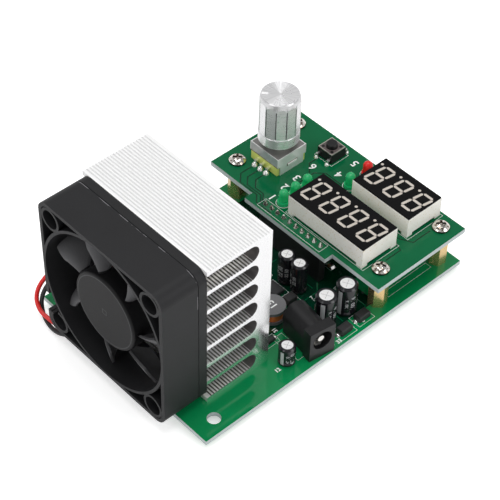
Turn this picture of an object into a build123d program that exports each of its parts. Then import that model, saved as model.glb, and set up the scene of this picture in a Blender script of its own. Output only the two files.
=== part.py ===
from build123d import *
from math import atan2, cos, pi, radians, sin, tan
import os

# A direct-current electronic load: a fan and a finned heat sink stand on the main board,
# and a second board with displays, lamps, a knob and a button stands on four pillars.
# All sizes are in millimetres. Places are first given on the main board: x from its fan
# end, y from its near edge, z up from its top face. The last step moves every piece so
# that the origin lies midway between the two free mounting holes, on the underside.

# Running clearances, and how far a cut runs past the face it opens
turn_gap = 0.05
slide_gap = 0.06
seat_gap = 0.1
past = 1.0

# Main board: its length and width follow from what stands on it
middle_zone = 32.5
far_margin = 10.45
board_thickness = 1.6
mount_hole_radius = 2.0
mount_hole_inset_x = 6.9
mount_hole_inset_y = 4.6

# Display board, level with the far end and both sides of the main board
upper_length = 36.1
upper_thickness = 1.6
tab_reach = 3.0
tab_width = 33.6

# Pillars and their screws
pillar_height = 11.8
pillar_across_flats = 5.0
pillar_pitch_y = 60.0
pillar_start_inset = 6.1
pillar_end_inset = 5.0
pillar_turns = [18.0, 4.0, -6.0, 30.0]
screw_slot_turns = [34.0, 46.0, 45.0, 51.0]
m3_radius = 1.5
m3_clearance_radius = 1.7
m3_head_radius = 2.6
m3_head_height = 1.9
pillar_screw_grip = 4.5
cross_slot_width = 0.75
cross_slot_share = 1.15
cross_slot_depth = 1.0
head_rim_share = 0.35

# Heat sink, a comb section extruded across the board
sink_start = 9.2
sink_depth = 22.6
sink_overhang = 0.0
sink_side_inset = 10.05
sink_base = 4.65
fin_count = 8
fin_thickness = 1.5
groove_pitch = 1.0
groove_width = 0.45
groove_depth = 0.3
groove_margin = 1.0
sink_screw_offset = 5.0
sink_screw_grip = 8.0
tap_allowance = 1.0

# Fan
fan_size = 49.7
fan_lift = 1.4
fan_depth = 15.0
fan_corner_radius = 4.0
fan_hole_inset = 4.85
duct_margin = 0.95
duct_wall = 0.9
side_wall = 1.2
boss_radius = 3.7
boss_hole_radius = 2.9
rear_flange = 3.2
notch_low = 6.35
notch_height = 7.2
notch_depth = 4.5
seam_inset = 3.0
seam_width = 0.25
seam_depth = 0.15
fan_screw_head_radius = 2.7
fan_screw_head_height = 2.0
motor_base_rim = 0.7
motor_base_thickness = 1.6
strut_width = 2.4
strut_thickness = 2.0
strut_count = 4
strut_bite = 1.5
hub_radius = 12.1
hub_recess = 0.9
hub_back_gap = 1.5
hub_wall = 1.0
hub_front_wall = 1.3
hub_edge = 0.7
shaft_seat = 0.4
blade_count = 7
blade_tip_gap = 0.7
blade_thickness = 0.75
blade_root_length = 11.0
blade_tip_length = 13.0
blade_root_angle = 50.0
blade_tip_angle = 62.0
blade_sweep = 16.0
blade_middle_sweep = 6.4
blade_bow_share = 0.12
blade_phase = 43.6
magnet_wall = 1.3
magnet_front_gap = 1.5
stator_air_gap = 0.6
stator_length = 5.0
stator_poles = 4
stator_slot_width = 2.6
stator_ring = 1.2
stator_back_gap = 0.6
bearing_radius = 2.6
bearing_length = 7.6
bearing_tube_wall = 0.8
fan_shaft_radius = 1.0
fan_board_thickness = 0.8

# Fan leads and their plug
lead_radius = 0.65
arc_share = 0.45
plug_length = 6.6
plug_width = 3.4
plug_height = 6.4
fan_socket_length = 8.2
fan_socket_width = 5.4
fan_socket_height = 6.2
fan_socket_floor = 1.4
fan_pin_length = 4.4
fan_socket_inset_x = 23.5
fan_socket_inset_y = 5.2
lead_spacing = 2.5

# Power transistor on the heat sink's back
transistor_width = 15.8
transistor_height = 20.8
transistor_depth = 4.9
transistor_rise = 12.5
transistor_hole_drop = 6.0
transistor_leg_spacing = 5.45
transistor_leg_width = 1.2
transistor_leg_thickness = 0.6
transistor_leg_share = 0.55
transistor_edge = 0.6
pad_thickness = 0.3
pad_margin = 1.0
transistor_screw_grip = 3.4

# Board-to-board connector
pin_pitch = 2.54
connector_pins = 10
connector_inset = 2.8
connector_shift = -0.66
connector_width = 2.5
strip_height = 2.5
contact_floor = 2.5
contact_gap = 0.5
pin_side = 0.64

# Digit displays, from the display board's fan-side edge
display_height = 7.3
display_depth = 14.0
display_gap = 4.5
display_inset = 2.1
four_digit_length = 30.1
four_digit_count = 4
three_digit_count = 3
three_digit_length = 22.5
display_near = 8.75
display_foot = 2.2
display_foot_height = 0.9
face_thickness = 0.4
face_margin = 0.15
digit_pitch = 7.5
digit_height = 9.1
digit_width = 4.7
digit_slant = 9.0
segment_width = 0.86
segment_gap = 0.14
dot_radius = 0.46
dot_offset = 1.15
digit_shift = 0.38
display_pin_rows = 10.16
display_pin_side = 0.5
display_pins_in_row = 6

# Indicator lamps, from the display board's fan-side edge, or its far end, and the near edge
lamp_row_x = [4.0, 8.8, 13.7]
lamp_row_y = 42.8
load_lamp_x = 23.7
run_lamp_inset = 5.0
end_lamps_y = 34.9
lamp_radius = 1.5
lamp_height = 5.2
lamp_flange_radius = 1.85
lamp_flange_height = 1.0

# Rotary encoder with push switch, and its knob, from the far end and far edge
encoder_inset_x = 20.1
encoder_inset_y = 12.3
encoder_width = 11.4
encoder_length = 12.0
encoder_base_height = 3.2
encoder_height = 6.5
shell_thickness = 0.4
shell_roof = 1.0
encoder_floor = 0.4
encoder_pin_reach = 1.5
encoder_pin_thickness = 0.4
encoder_pin_width = 1.0
encoder_pin_rise = 1.4
encoder_pin_pitch = 2.5
bushing_radius = 3.5
bushing_length = 7.0
shaft_radius = 3.0
shaft_length = 14.0
wheel_radius = 4.6
wheel_height = 1.4
wheel_lift = 1.3
wheel_room = 0.2
shaft_step = 0.8
knob_radius = 6.3
knob_top_radius = 5.85
knob_height = 16.8
knob_lift = 2.3
knob_chamfer_height = 2.1
knob_edge = 0.3
knob_dish = 0.35
knob_cavity_radius = 4.7
knob_cavity_depth = 9.0
flute_count = 12
flute_width = 0.6
flute_phase = 6.0
flute_start = 3.5
flute_stop_drop = 1.2
panel_distance = 6.12
panel_cut = 2.0
knob_groove_width = 0.25
knob_groove_depth = 0.2
knob_mark_start = 3.4
knob_mark_length = 2.1
knob_mark_width = 0.4
knob_mark_azimuth = 136.0
knob_mark_depth = 0.7
knob_travel = 0.5

# Push button switch, from the far end and far edge
switch_inset_x = 6.9
switch_inset_y = 21.95
switch_side = 6.0
switch_height = 3.5
switch_plate = 0.3
button_radius = 1.75
button_height = 1.5
button_collar_radius = 2.1
button_collar_height = 0.6
button_room = 0.15
button_chamfer = 0.25
switch_floor = 1.0
switch_leg_offset = 2.25
switch_leg_width = 0.7
switch_leg_reach = 1.2
switch_leg_rise = 1.3
switch_leg_thickness = 0.3

# Supply socket, from the heat sink's back face
jack_gap = 7.8
jack_width = 8.6
jack_front = 0.95
jack_turn = -8.0
jack_height = 11.0
jack_block_depth = 3.2
jack_length = 13.4
jack_barrel_width = 8.2
jack_barrel_height = 10.4
jack_ledge_drop = 1.2
jack_ledge_width = 0.35
jack_bore_radius = 3.15
jack_bore_height = 6.7
jack_bore_depth = 9.6
jack_pin_radius = 1.0
jack_pin_recess = 0.8
jack_joint_offsets = [(0, 6.3), (0, 12.0), (3.5, 9.8)]
jack_tail_radius = 0.7
jack_tail_length = 2.6
jack_spring_width = 2.4
jack_spring_front = 1.5
jack_spring_height = 1.25
jack_spring_thickness = 0.3
jack_spring_pocket = 0.7

# Electrolytic capacitors: x from the heat sink's back face, y, radius, height
capacitor_places = [
    (24.7, 28.7, 2.5, 11.0),
    (24.9, 23.7, 2.5, 11.0),
    (21.9, 9.7, 3.15, 11.0),
    (29.5, 9.0, 3.15, 11.0),
    (3.5, 6.1, 2.5, 7.0),
]
capacitor_edge = 0.45
capacitor_groove_height = 1.5
capacitor_groove_depth = 0.3
capacitor_groove_half = 0.5
capacitor_leg_spacing = 2.5
vent_share = 0.67
vent_drop = 0.1
vent_thickness = 0.3

# Drum inductor, from the heat sink's back face
inductor_gap = 12.1
inductor_y = 21.3
inductor_radius = 4.0
inductor_height = 4.7
inductor_flange = 1.1
inductor_core_radius = 2.0
winding_radius = 3.6
inductor_leg_spacing = 5.0

# Load terminal block at the far edge, from the heat sink's back face
terminal_gap = 10.7
terminal_pitch = 5.08
terminal_poles = 2
terminal_depth = 8.2
terminal_height = 10.2
terminal_edge_gap = 0.6
terminal_chamfer = 1.6
wire_mouth_width = 3.4
wire_mouth_height = 3.6
wire_mouth_low = 1.6
clamp_wall = 0.6
clamp_travel = 1.2
clamp_screw_radius = 1.25
clamp_screw_head_radius = 1.9
clamp_screw_head_height = 1.4
clamp_slot_width = 0.6
clamp_slot_depth = 0.8
clamp_head_drop = 0.5
clamp_screw_overlap = 2.0
cage_length = 3.8
cage_roof = 1.0
cage_drop = 0.9

# Small surface parts, x from the heat sink's back face: x, y, size along x and y, height
middle_chips = [
    (19.1, 27.9, 3.9, 4.9, 1.5),
    (19.8, 21.9, 3.6, 2.6, 2.1),
    (23.4, 3.3, 4.3, 2.6, 2.1),
    (30.8, 3.6, 4.3, 2.6, 2.1),
    (5.1, 14.5, 2.9, 1.6, 1.1),
]
middle_small_parts = [
    (21.6, 33.6, 2.0, 1.25),
    (14.8, 28.2, 1.25, 2.0),
    (16.2, 32.4, 1.25, 2.0),
    (26.6, 16.6, 2.0, 1.25),
    (21.2, 16.4, 1.25, 2.0),
    (6.6, 48.0, 2.0, 1.25),
]

# The same under the display board, x from its fan-side edge
sheltered_chips = [
    (17.7, 32.0, 7.0, 7.0, 1.4),
    (9.7, 50.0, 3.9, 4.9, 1.5),
    (25.7, 22.0, 3.9, 4.9, 1.5),
]
sheltered_small_parts = [
    (1.7, 16.0, 2.0, 1.25),
    (5.7, 24.0, 1.25, 2.0),
    (5.7, 28.0, 1.25, 2.0),
    (11.7, 20.0, 2.0, 1.25),
    (23.7, 40.0, 1.25, 2.0),
    (13.7, 42.0, 2.0, 1.25),
]
small_part_height = 0.7
chip_lift = 0.1
chip_edge = 0.2
chip_leg_pitch = 1.27
chip_leg_width = 0.45
chip_tab_width = 1.4
chip_leg_reach = 0.9
chip_leg_thickness = 0.35
many_legged_side = 3.0

# Solder joints under both boards
joint_radius = 0.85
joint_height = 1.1
joint_taper = 24


def block(x0, x1, y0, y1, z0, z1):
    """A box between two corners."""
    centre = Pos((x0 + x1) / 2, (y0 + y1) / 2, (z0 + z1) / 2)
    return centre * Box(x1 - x0, y1 - y0, z1 - z0)


def rod(x, y, z0, z1, radius):
    """An upright round bar."""
    return Pos(x, y, (z0 + z1) / 2) * Cylinder(radius, z1 - z0)


def rod_x(x0, x1, y, z, radius):
    """A round bar along x."""
    return Pos((x0 + x1) / 2, y, z) * Rot(0, 90, 0) * Cylinder(radius, x1 - x0)


def rod_y(x, y0, y1, z, radius):
    """A round bar along y."""
    return Pos(x, (y0 + y1) / 2, z) * Rot(90, 0, 0) * Cylinder(radius, y1 - y0)


def group(pieces):
    """Separate solids kept together in one sub-part."""
    return Compound([solid for piece in pieces for solid in piece.solids()])


def pan_screw(head_radius, head_height, shank_radius, grip):
    """A cross-head screw standing on z = 0 with its shank below."""
    rim = head_height * head_rim_share
    rise = head_height - rim
    dome = (head_radius ** 2 + rise ** 2) / (2 * rise)
    half_turn = atan2(head_radius, dome - rise) / 2
    with BuildPart() as screw:
        with BuildSketch(Plane.XZ):
            with BuildLine():
                Polyline((0, head_height), (0, -grip), (shank_radius, -grip), (shank_radius, 0),
                         (head_radius, 0), (head_radius, rim))
                ThreePointArc((head_radius, rim),
                              (dome * sin(half_turn), head_height - dome * (1 - cos(half_turn))),
                              (0, head_height))
            make_face()
        revolve(axis=Axis.Z)
        with Locations((0, 0, head_height)):
            across = head_radius * cross_slot_share
            Box(across, cross_slot_width, 2 * cross_slot_depth, mode=Mode.SUBTRACT)
            Box(cross_slot_width, across, 2 * cross_slot_depth, mode=Mode.SUBTRACT)
    return screw.part


def bent_leg(face, y, side, foot, reach, rise, width, thickness):
    """A flat leg that runs out of a face at x and turns down to its foot."""
    outer = face + side * reach
    inner = outer - side * thickness
    flat = block(min(face, outer), max(face, outer), y - width / 2, y + width / 2,
                 foot + rise, foot + rise + thickness)
    return flat + block(min(inner, outer), max(inner, outer), y - width / 2, y + width / 2,
                        foot, foot + rise)


def joint(x, y, face_z, up):
    """A solder joint: a small cone of metal with the lead's end in it."""
    foot = Plane((x, y, face_z), z_dir=(0, 0, 1 if up else -1))
    return extrude(foot * RegularPolygon(joint_radius, 6), joint_height, taper=joint_taper)


# Shared places
board_top = 0.0
board_under = board_top - board_thickness
sink_end = sink_start + sink_depth
sink_near = sink_side_inset
sink_width = fan_size + sink_overhang
sink_far = sink_near + sink_width
board_length = sink_end + middle_zone + upper_length
board_width = sink_far + far_margin
middle_y = board_width / 2
upper_start = board_length - upper_length
upper_under = board_top + pillar_height
upper_top = upper_under + upper_thickness
pillar_x = [upper_start + pillar_start_inset, board_length - pillar_end_inset]
pillar_y = [middle_y - pillar_pitch_y / 2, middle_y + pillar_pitch_y / 2]
pillar_places = [(x, y) for x in pillar_x for y in pillar_y]
mount_y = [mount_hole_inset_y, board_width - mount_hole_inset_y]
mount_places = [(mount_hole_inset_x, y) for y in mount_y]

# Heat sink section
sink_height = fan_lift + fan_size
sink_middle_y = (sink_near + sink_far) / 2
base_face = sink_end - sink_base
fin_gap = (sink_height - fin_count * fin_thickness) / (fin_count - 1)
fin_pitch = fin_thickness + fin_gap
gap_end = base_face - fin_gap / 2
sink_screw_x = sink_end - sink_base / 2

# Fan axes
fan_front = sink_start - fan_depth
fan_rear = sink_start
fan_top = board_top + sink_height
fan_low = fan_top - fan_size
fan_near = sink_near
fan_far = fan_near + fan_size
fan_y = (fan_near + fan_far) / 2
fan_z = (fan_low + fan_top) / 2
fan_hole_pitch = fan_size - 2 * fan_hole_inset
hole_offsets = [-fan_hole_pitch / 2, fan_hole_pitch / 2]
sink_screw_reach = fan_hole_pitch / 2 - sink_screw_offset
sink_screw_y = [sink_middle_y - sink_screw_reach, sink_middle_y + sink_screw_reach]
fan_holes = [(fan_y + a, fan_z + b) for a in hole_offsets for b in hole_offsets]
flange_face = fan_rear - rear_flange
duct_radius = fan_size / 2 - duct_margin
motor_base_radius = hub_radius + motor_base_rim
motor_face = fan_rear - motor_base_thickness
hub_front = fan_front + hub_recess
hub_back = motor_face - fan_board_thickness - hub_back_gap
hub_length = hub_back - hub_front
magnet_radius = hub_radius - hub_wall
magnet_length = hub_length - hub_front_wall - magnet_front_gap
stator_radius = magnet_radius - magnet_wall - stator_air_gap
stator_back = motor_face - fan_board_thickness - stator_back_gap
bearing_tube_radius = bearing_radius + bearing_tube_wall

# Transistor place
transistor_y = sink_middle_y
transistor_low = board_top + transistor_rise
transistor_hole_z = transistor_low + transistor_height - transistor_hole_drop
transistor_back = sink_end + pad_thickness
transistor_leg_x = transistor_back + transistor_depth * transistor_leg_share
transistor_legs = [transistor_y + k * transistor_leg_spacing for k in (-1, 0, 1)]


# Boards
def drilled_plate(x0, x1, y0, y1, z0, z1, holes):
    """A circuit board with its round holes: x, y, radius."""
    plate = block(x0, x1, y0, y1, z0, z1)
    for x, y, radius in holes:
        plate -= rod(x, y, z0 - past, z1 + past, radius)
    return plate


def main_board():
    """The lower board, with two free holes at the fan end."""
    holes = [(x, y, mount_hole_radius) for x, y in mount_places]
    holes += [(x, y, m3_clearance_radius) for x, y in pillar_places]
    holes += [(sink_screw_x, y, m3_clearance_radius) for y in sink_screw_y]
    return drilled_plate(0, board_length, 0, board_width, board_under, board_top, holes)


def display_board():
    """The upper board, with the tab that carries the connector row."""
    holes = [(x, y, m3_clearance_radius) for x, y in pillar_places]
    plate = drilled_plate(upper_start, board_length, 0, board_width, upper_under, upper_top, holes)
    tab = block(upper_start - tab_reach, upper_start, middle_y - tab_width / 2,
                middle_y + tab_width / 2, upper_under, upper_top)
    return plate + tab


def pillars():
    """Hexagonal spacers, tapped through."""
    pieces = []
    for (x, y), turn in zip(pillar_places, pillar_turns):
        hexagon = RegularPolygon(pillar_across_flats / 2, 6, major_radius=False)
        pillar = extrude(Pos(x, y, board_top) * Rot(0, 0, turn) * hexagon, pillar_height)
        pieces.append(pillar - rod(x, y, board_top - past, upper_under + past, m3_radius + turn_gap))
    return group(pieces)


def pillar_screws(upper):
    """The screws that hold a board to the pillars, from above or from below."""
    pieces = []
    for (x, y), turn in zip(pillar_places, screw_slot_turns):
        plate = upper_thickness if upper else board_thickness
        screw = pan_screw(m3_head_radius, m3_head_height, m3_radius, plate + pillar_screw_grip)
        if upper:
            pieces.append(Pos(x, y, upper_top) * Rot(0, 0, turn) * screw)
        else:
            pieces.append(Pos(x, y, board_under) * Rot(180, 0, 0) * screw)
    return group(pieces)


# Heat sink
def ribbed(x_from, x_to, z, into):
    """Points along a face at height z with small grooves cut towards into."""
    way = 1 if x_to > x_from else -1
    count = int((abs(x_to - x_from) - 2 * groove_margin + groove_width) // groove_pitch)
    first = (x_from + x_to) / 2 - way * (count - 1) * groove_pitch / 2
    points = []
    for k in range(count):
        x = first + way * k * groove_pitch
        points.append((x - way * groove_width / 2, z))
        points.append((x, z + into * groove_depth))
        points.append((x + way * groove_width / 2, z))
    return points


def heat_sink():
    """The comb section, extruded, with tapped holes and fan-screw clearances."""
    low = board_top
    top = low + sink_height
    with BuildPart() as sink:
        with BuildSketch(Plane.XZ.offset(-sink_near)):
            with BuildLine():
                for k in range(fin_count - 1):
                    floor = low + k * fin_pitch + fin_thickness
                    roof = floor + fin_gap
                    inward = ribbed(sink_start, gap_end, floor, -1)
                    outward = ribbed(gap_end, sink_start, roof, 1)
                    Polyline((sink_start, floor), *inward, (gap_end, floor))
                    ThreePointArc((gap_end, floor), (base_face, (floor + roof) / 2), (gap_end, roof))
                    Polyline((gap_end, roof), *outward, (sink_start, roof))
                    Line((sink_start, roof), (sink_start, roof + fin_thickness))
                across = ribbed(sink_start, sink_end, top, -1)
                Polyline((sink_start, top), *across, (sink_end, top))
                Polyline((sink_end, top), (sink_end, low), (sink_start, low),
                         (sink_start, low + fin_thickness))
            make_face()
        extrude(amount=-sink_width)
    part = sink.part
    for y in sink_screw_y:
        part -= rod(sink_screw_x, y, low - past, low + sink_screw_grip, m3_radius + turn_gap)
    for y, z in fan_holes:
        part -= rod_x(sink_start - past, base_face, y, z, m3_clearance_radius)
        part -= rod_x(base_face - past, sink_end + past, y, z, m3_radius + turn_gap)
    part -= rod_x(base_face - past, sink_end + past, transistor_y, transistor_hole_z, m3_radius + turn_gap)
    return part


def heat_sink_screws():
    """Two screws up through the main board into the heat sink's back wall."""
    grip = board_thickness + sink_screw_grip - tap_allowance
    screw = pan_screw(m3_head_radius, m3_head_height, m3_radius, grip)
    return group([Pos(sink_screw_x, y, board_under) * Rot(180, 0, 0) * screw for y in sink_screw_y])


def power_transistor():
    """The flat power package that burns the load's heat, on its three legs."""
    half = transistor_width / 2
    body = block(transistor_back, transistor_back + transistor_depth, transistor_y - half,
                 transistor_y + half, transistor_low, transistor_low + transistor_height)
    body = chamfer(body.edges().group_by(Axis.X)[-1], transistor_edge)
    body -= rod_x(transistor_back - past, transistor_back + transistor_depth + past, transistor_y,
                  transistor_hole_z, m3_clearance_radius)
    for y in transistor_legs:
        x = transistor_leg_x
        body += block(x - transistor_leg_thickness / 2, x + transistor_leg_thickness / 2,
                      y - transistor_leg_width / 2, y + transistor_leg_width / 2,
                      board_top, transistor_low)
    return body


def transistor_pad():
    """The thin insulating pad behind the transistor."""
    half = transistor_width / 2 + pad_margin
    pad = block(sink_end, transistor_back, transistor_y - half, transistor_y + half,
                transistor_low - pad_margin, transistor_low + transistor_height + pad_margin)
    return pad - rod_x(sink_end - past, transistor_back + past, transistor_y, transistor_hole_z,
                       m3_clearance_radius)


def transistor_screw():
    """The screw that presses the transistor to the heat sink."""
    screw = pan_screw(m3_head_radius, m3_head_height, m3_radius,
                      transistor_depth + pad_thickness + transistor_screw_grip)
    seat = transistor_back + transistor_depth
    return Pos(seat, transistor_y, transistor_hole_z) * Rot(0, 90, 0) * screw


# Fan
def on_fan(x):
    """A sketch plane across the fan's axis at x, seen from the front."""
    return Plane((x, fan_y, fan_z), x_dir=(0, 1, 0), z_dir=(1, 0, 0))


def fan_frame():
    """The square housing with its round duct, corner tubes and motor base."""
    outline = RectangleRounded(fan_size, fan_size, fan_corner_radius)
    body = extrude(on_fan(fan_front) * outline, fan_depth)
    core = fan_size - 2 * seam_depth
    seam = outline - RectangleRounded(core, core, fan_corner_radius - seam_depth)
    body -= extrude(on_fan(fan_rear - seam_inset) * seam, seam_width)
    inside = fan_size - 2 * side_wall
    pocket = RectangleRounded(inside, inside, fan_corner_radius - side_wall) - Circle(duct_radius + duct_wall)
    for a in hole_offsets:
        for b in hole_offsets:
            pocket -= Pos(a, b) * Circle(boss_radius)
    body -= extrude(on_fan(fan_front) * pocket, fan_depth - rear_flange)
    body -= rod_x(fan_front - past, fan_rear + past, fan_y, fan_z, duct_radius)
    for y, z in fan_holes:
        body -= rod_x(fan_front - past, flange_face, y, z, boss_hole_radius)
        body -= rod_x(flange_face - past, fan_rear + past, y, z, m3_clearance_radius)
    notch = block(fan_front - past, flange_face, fan_far - notch_depth, fan_far + past,
                  fan_low + notch_low, fan_low + notch_low + notch_height)
    ring = rod_x(fan_front - past, fan_rear + past, fan_y, fan_z, duct_radius + duct_wall)
    body -= notch - ring
    # Struts reach from the duct wall to the motor base at the rear
    for k in range(strut_count):
        start = motor_base_radius - strut_bite
        reach = duct_radius + duct_wall / 2
        bar = Pos((start + reach) / 2, 0) * Rectangle(reach - start, strut_width)
        turned = Rot(0, 0, (k + 0.5) * 360 / strut_count) * bar
        body += extrude(on_fan(fan_rear - strut_thickness) * turned, strut_thickness)
    body += rod_x(motor_face, fan_rear, fan_y, fan_z, motor_base_radius)
    tube_end = motor_face - bearing_length
    body += rod_x(tube_end, motor_face, fan_y, fan_z, bearing_tube_radius)
    body -= rod_x(tube_end - past, motor_face, fan_y, fan_z, bearing_radius)
    return body


def fan_screws():
    """Four long screws through the fan and between the fins into the back wall."""
    grip = rear_flange + sink_depth - tap_allowance
    screw = pan_screw(fan_screw_head_radius, fan_screw_head_height, m3_radius, grip)
    return group([Pos(flange_face, y, z) * Rot(0, -90, 0) * screw for y, z in fan_holes])


def blade_section(radius, chord, stagger, sweep):
    """One thin curved blade section, square to the radius, at that radius."""
    plane = Plane((0, 0, 0), x_dir=(1, 0, 0), z_dir=(0, -1, 0))
    half = chord / 2
    bow = chord * blade_bow_share
    with BuildSketch() as section:
        with BuildLine():
            ThreePointArc((-half, 0), (0, bow), (half, 0))
            Line((half, 0), (half, blade_thickness))
            ThreePointArc((half, blade_thickness), (0, bow + blade_thickness), (-half, blade_thickness))
            Line((-half, blade_thickness), (-half, 0))
        make_face()
    turned = Rot(0, 0, stagger) * section.sketch
    return Rot(-sweep, 0, 0) * Pos(0, radius, 0) * plane * turned


def fan_rotor():
    """The hub cup with its swept blades, one moulding."""
    with BuildPart() as cup:
        with BuildSketch(Plane.XY):
            with BuildLine():
                turn = hub_edge * (1 - cos(pi / 4))
                Polyline((0, 0), (0, hub_radius - hub_edge))
                ThreePointArc((0, hub_radius - hub_edge), (turn, hub_radius - turn), (hub_edge, hub_radius))
                Polyline((hub_edge, hub_radius), (hub_length, hub_radius), (hub_length, magnet_radius),
                         (hub_front_wall, magnet_radius), (hub_front_wall, 0), (0, 0))
            make_face()
        revolve(axis=Axis.X)
    body = cup.part
    body -= rod_x(hub_front_wall - shaft_seat, hub_front_wall + past, 0, 0, fan_shaft_radius)
    tip = duct_radius - blade_tip_gap
    root = hub_radius - hub_wall / 2
    middle = (root + tip) / 2
    lengths = (blade_root_length, (blade_root_length + blade_tip_length) / 2, blade_tip_length)
    angles = (blade_root_angle, (blade_root_angle + blade_tip_angle) / 2, blade_tip_angle)
    sweeps = (0, blade_middle_sweep, blade_sweep)
    stations = zip((root, middle, tip + past), lengths, angles, sweeps)
    blade = loft([blade_section(r, c, a, s) for r, c, a, s in stations])
    room = Rot(0, 90, 0) * Cylinder(tip, hub_length - 2 * seat_gap)
    hole = Rot(0, 90, 0) * Cylinder(root, 3 * hub_length)
    blade = Pos(hub_length / 2, 0, 0) * (blade & room) - hole
    for k in range(blade_count):
        body += Rot(blade_phase + k * 360 / blade_count, 0, 0) * blade
    return Pos(hub_front, fan_y, fan_z) * body


def fan_magnet():
    """The ring magnet inside the hub."""
    x0 = hub_back - magnet_length
    ring = rod_x(x0, hub_back, fan_y, fan_z, magnet_radius)
    return ring - rod_x(x0 - past, hub_back + past, fan_y, fan_z, magnet_radius - magnet_wall)


def fan_shaft():
    """The steel shaft, pressed into the hub and turning in the bearing."""
    x0 = hub_front + hub_front_wall - shaft_seat
    return rod_x(x0, motor_face - seat_gap, fan_y, fan_z, fan_shaft_radius)


def fan_bearing():
    """The plain bearing in the base's tube."""
    x0 = motor_face - bearing_length
    ring = rod_x(x0, motor_face, fan_y, fan_z, bearing_radius)
    return ring - rod_x(x0 - past, motor_face + past, fan_y, fan_z, fan_shaft_radius + turn_gap)


def fan_stator():
    """The wound core on the bearing tube."""
    core = rod_x(stator_back - stator_length, stator_back, fan_y, fan_z, stator_radius)
    core -= rod_x(stator_back - stator_length - past, stator_back + past, fan_y, fan_z, bearing_tube_radius)
    centre = Pos(stator_back - stator_length / 2, fan_y, fan_z)
    lift = Pos(0, stator_radius / 2 + bearing_tube_radius + stator_ring, 0)
    slot = Box(stator_length + 2 * past, stator_radius, stator_slot_width)
    for k in range(stator_poles):
        core -= centre * Rot(360 / stator_poles * (k + 0.5), 0, 0) * lift * slot
    return core


def fan_circuit_board():
    """The ring-shaped motor board under the stator."""
    x0 = motor_face - fan_board_thickness
    ring = rod_x(x0, motor_face, fan_y, fan_z, stator_radius)
    return ring - rod_x(x0 - past, motor_face + past, fan_y, fan_z, bearing_tube_radius)


# Fan leads: points chosen along the loop beside the board's corner
fan_socket_x = fan_socket_inset_x
fan_socket_y = board_width - fan_socket_inset_y
plug_low = board_top + fan_socket_floor
plug_top = plug_low + plug_height
red_y = fan_socket_y + lead_spacing / 2
black_y = fan_socket_y - lead_spacing / 2
red_route = [
    (-2.8, 56.6, fan_low),
    (-2.8, 56.6, 0.3),
    (-3.6, 58.9, -0.6),
    (-4.4, 61.9, 0.3),
    (-4.9, 65.6, 1.2),
    (-3.8, 68.7, 3.2),
    (-1.5, 70.0, 5.8),
    (2.0, 69.7, 8.6),
    (6.2, 69.0, 11.3),
    (11.0, 68.2, 13.6),
    (16.2, 67.2, 15.2),
    (20.0, 66.6, 15.3),
    (22.6, 66.35, 13.6),
    (fan_socket_x, red_y, 10.8),
    (fan_socket_x, red_y, plug_top),
]
black_route = [
    (-3.9, 54.0, fan_low),
    (-3.9, 54.0, 0.2),
    (-4.6, 56.3, -1.2),
    (-5.0, 59.4, -1.8),
    (-4.7, 62.9, -1.5),
    (-3.8, 66.0, -0.2),
    (-2.6, 67.8, 2.6),
    (-0.6, 68.1, 5.9),
    (2.9, 67.4, 9.1),
    (7.0, 66.5, 11.8),
    (11.8, 65.6, 13.8),
    (16.4, 64.8, 15.0),
    (20.0, 64.2, 15.1),
    (22.6, 63.85, 13.5),
    (fan_socket_x, black_y, 10.8),
    (fan_socket_x, black_y, plug_top),
]


def lead(route, label):
    """A round wire: straight runs joined by arcs as large as the runs allow."""
    points = [Vector(*p) for p in route]
    radii = []
    for a, b, c in zip(points, points[1:], points[2:]):
        turn = (b - a).get_angle(c - b)
        run = min((b - a).length, (c - b).length)
        radii.append(arc_share * run / tan(radians(turn / 2)))
    path = FilletPolyline(*points, radius=radii)
    print(label, "radii", [round(r, 1) for r in radii], "length", round(path.length, 1))
    start = Plane(path @ 0, z_dir=path % 0)
    tube = sweep(start * Circle(lead_radius), path=path)
    print(label, "volume ratio", round(tube.volume / (pi * lead_radius ** 2 * path.length), 4))
    return tube


def fan_plug():
    """The two-way plug that the leads end in."""
    x, y = fan_socket_x, fan_socket_y
    body = block(x - plug_width / 2, x + plug_width / 2, y - plug_length / 2, y + plug_length / 2,
                 plug_low, plug_top)
    for pin_y in (red_y, black_y):
        body -= rod(x, pin_y, plug_low - past, plug_low + fan_pin_length + seat_gap, pin_side)
    return body


def fan_socket():
    """The shrouded two-pin header on the board, open at the top."""
    x, y = fan_socket_x, fan_socket_y
    top = board_top + fan_socket_height
    shell = block(x - fan_socket_width / 2, x + fan_socket_width / 2, y - fan_socket_length / 2,
                  y + fan_socket_length / 2, board_top, top)
    room_x = plug_width / 2 + seat_gap
    room_y = plug_length / 2 + seat_gap
    shell -= block(x - room_x, x + room_x, y - room_y, y + room_y, plug_low, top + past)
    return shell


def fan_socket_pins():
    """Two square pins in the header."""
    half = pin_side / 2
    return group([block(fan_socket_x - half, fan_socket_x + half, y - half, y + half,
                        plug_low, plug_low + fan_pin_length) for y in (red_y, black_y)])


# Board-to-board connector
connector_x = upper_start - tab_reach + connector_inset
connector_first = middle_y + connector_shift + (connector_pins - 1) * pin_pitch / 2
connector_y = [connector_first - k * pin_pitch for k in range(connector_pins)]
connector_low = connector_y[-1] - pin_pitch / 2
connector_high = connector_y[0] + pin_pitch / 2
socket_height = pillar_height - strip_height


def connector_socket():
    """The socket strip on the main board."""
    half = connector_width / 2
    strip = block(connector_x - half, connector_x + half, connector_low, connector_high,
                  board_top, board_top + socket_height)
    for y in connector_y:
        bore = pin_side / 2 + slide_gap
        strip -= block(connector_x - bore, connector_x + bore, y - bore, y + bore,
                       board_top + contact_floor, board_top + socket_height + past)
    return strip


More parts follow.
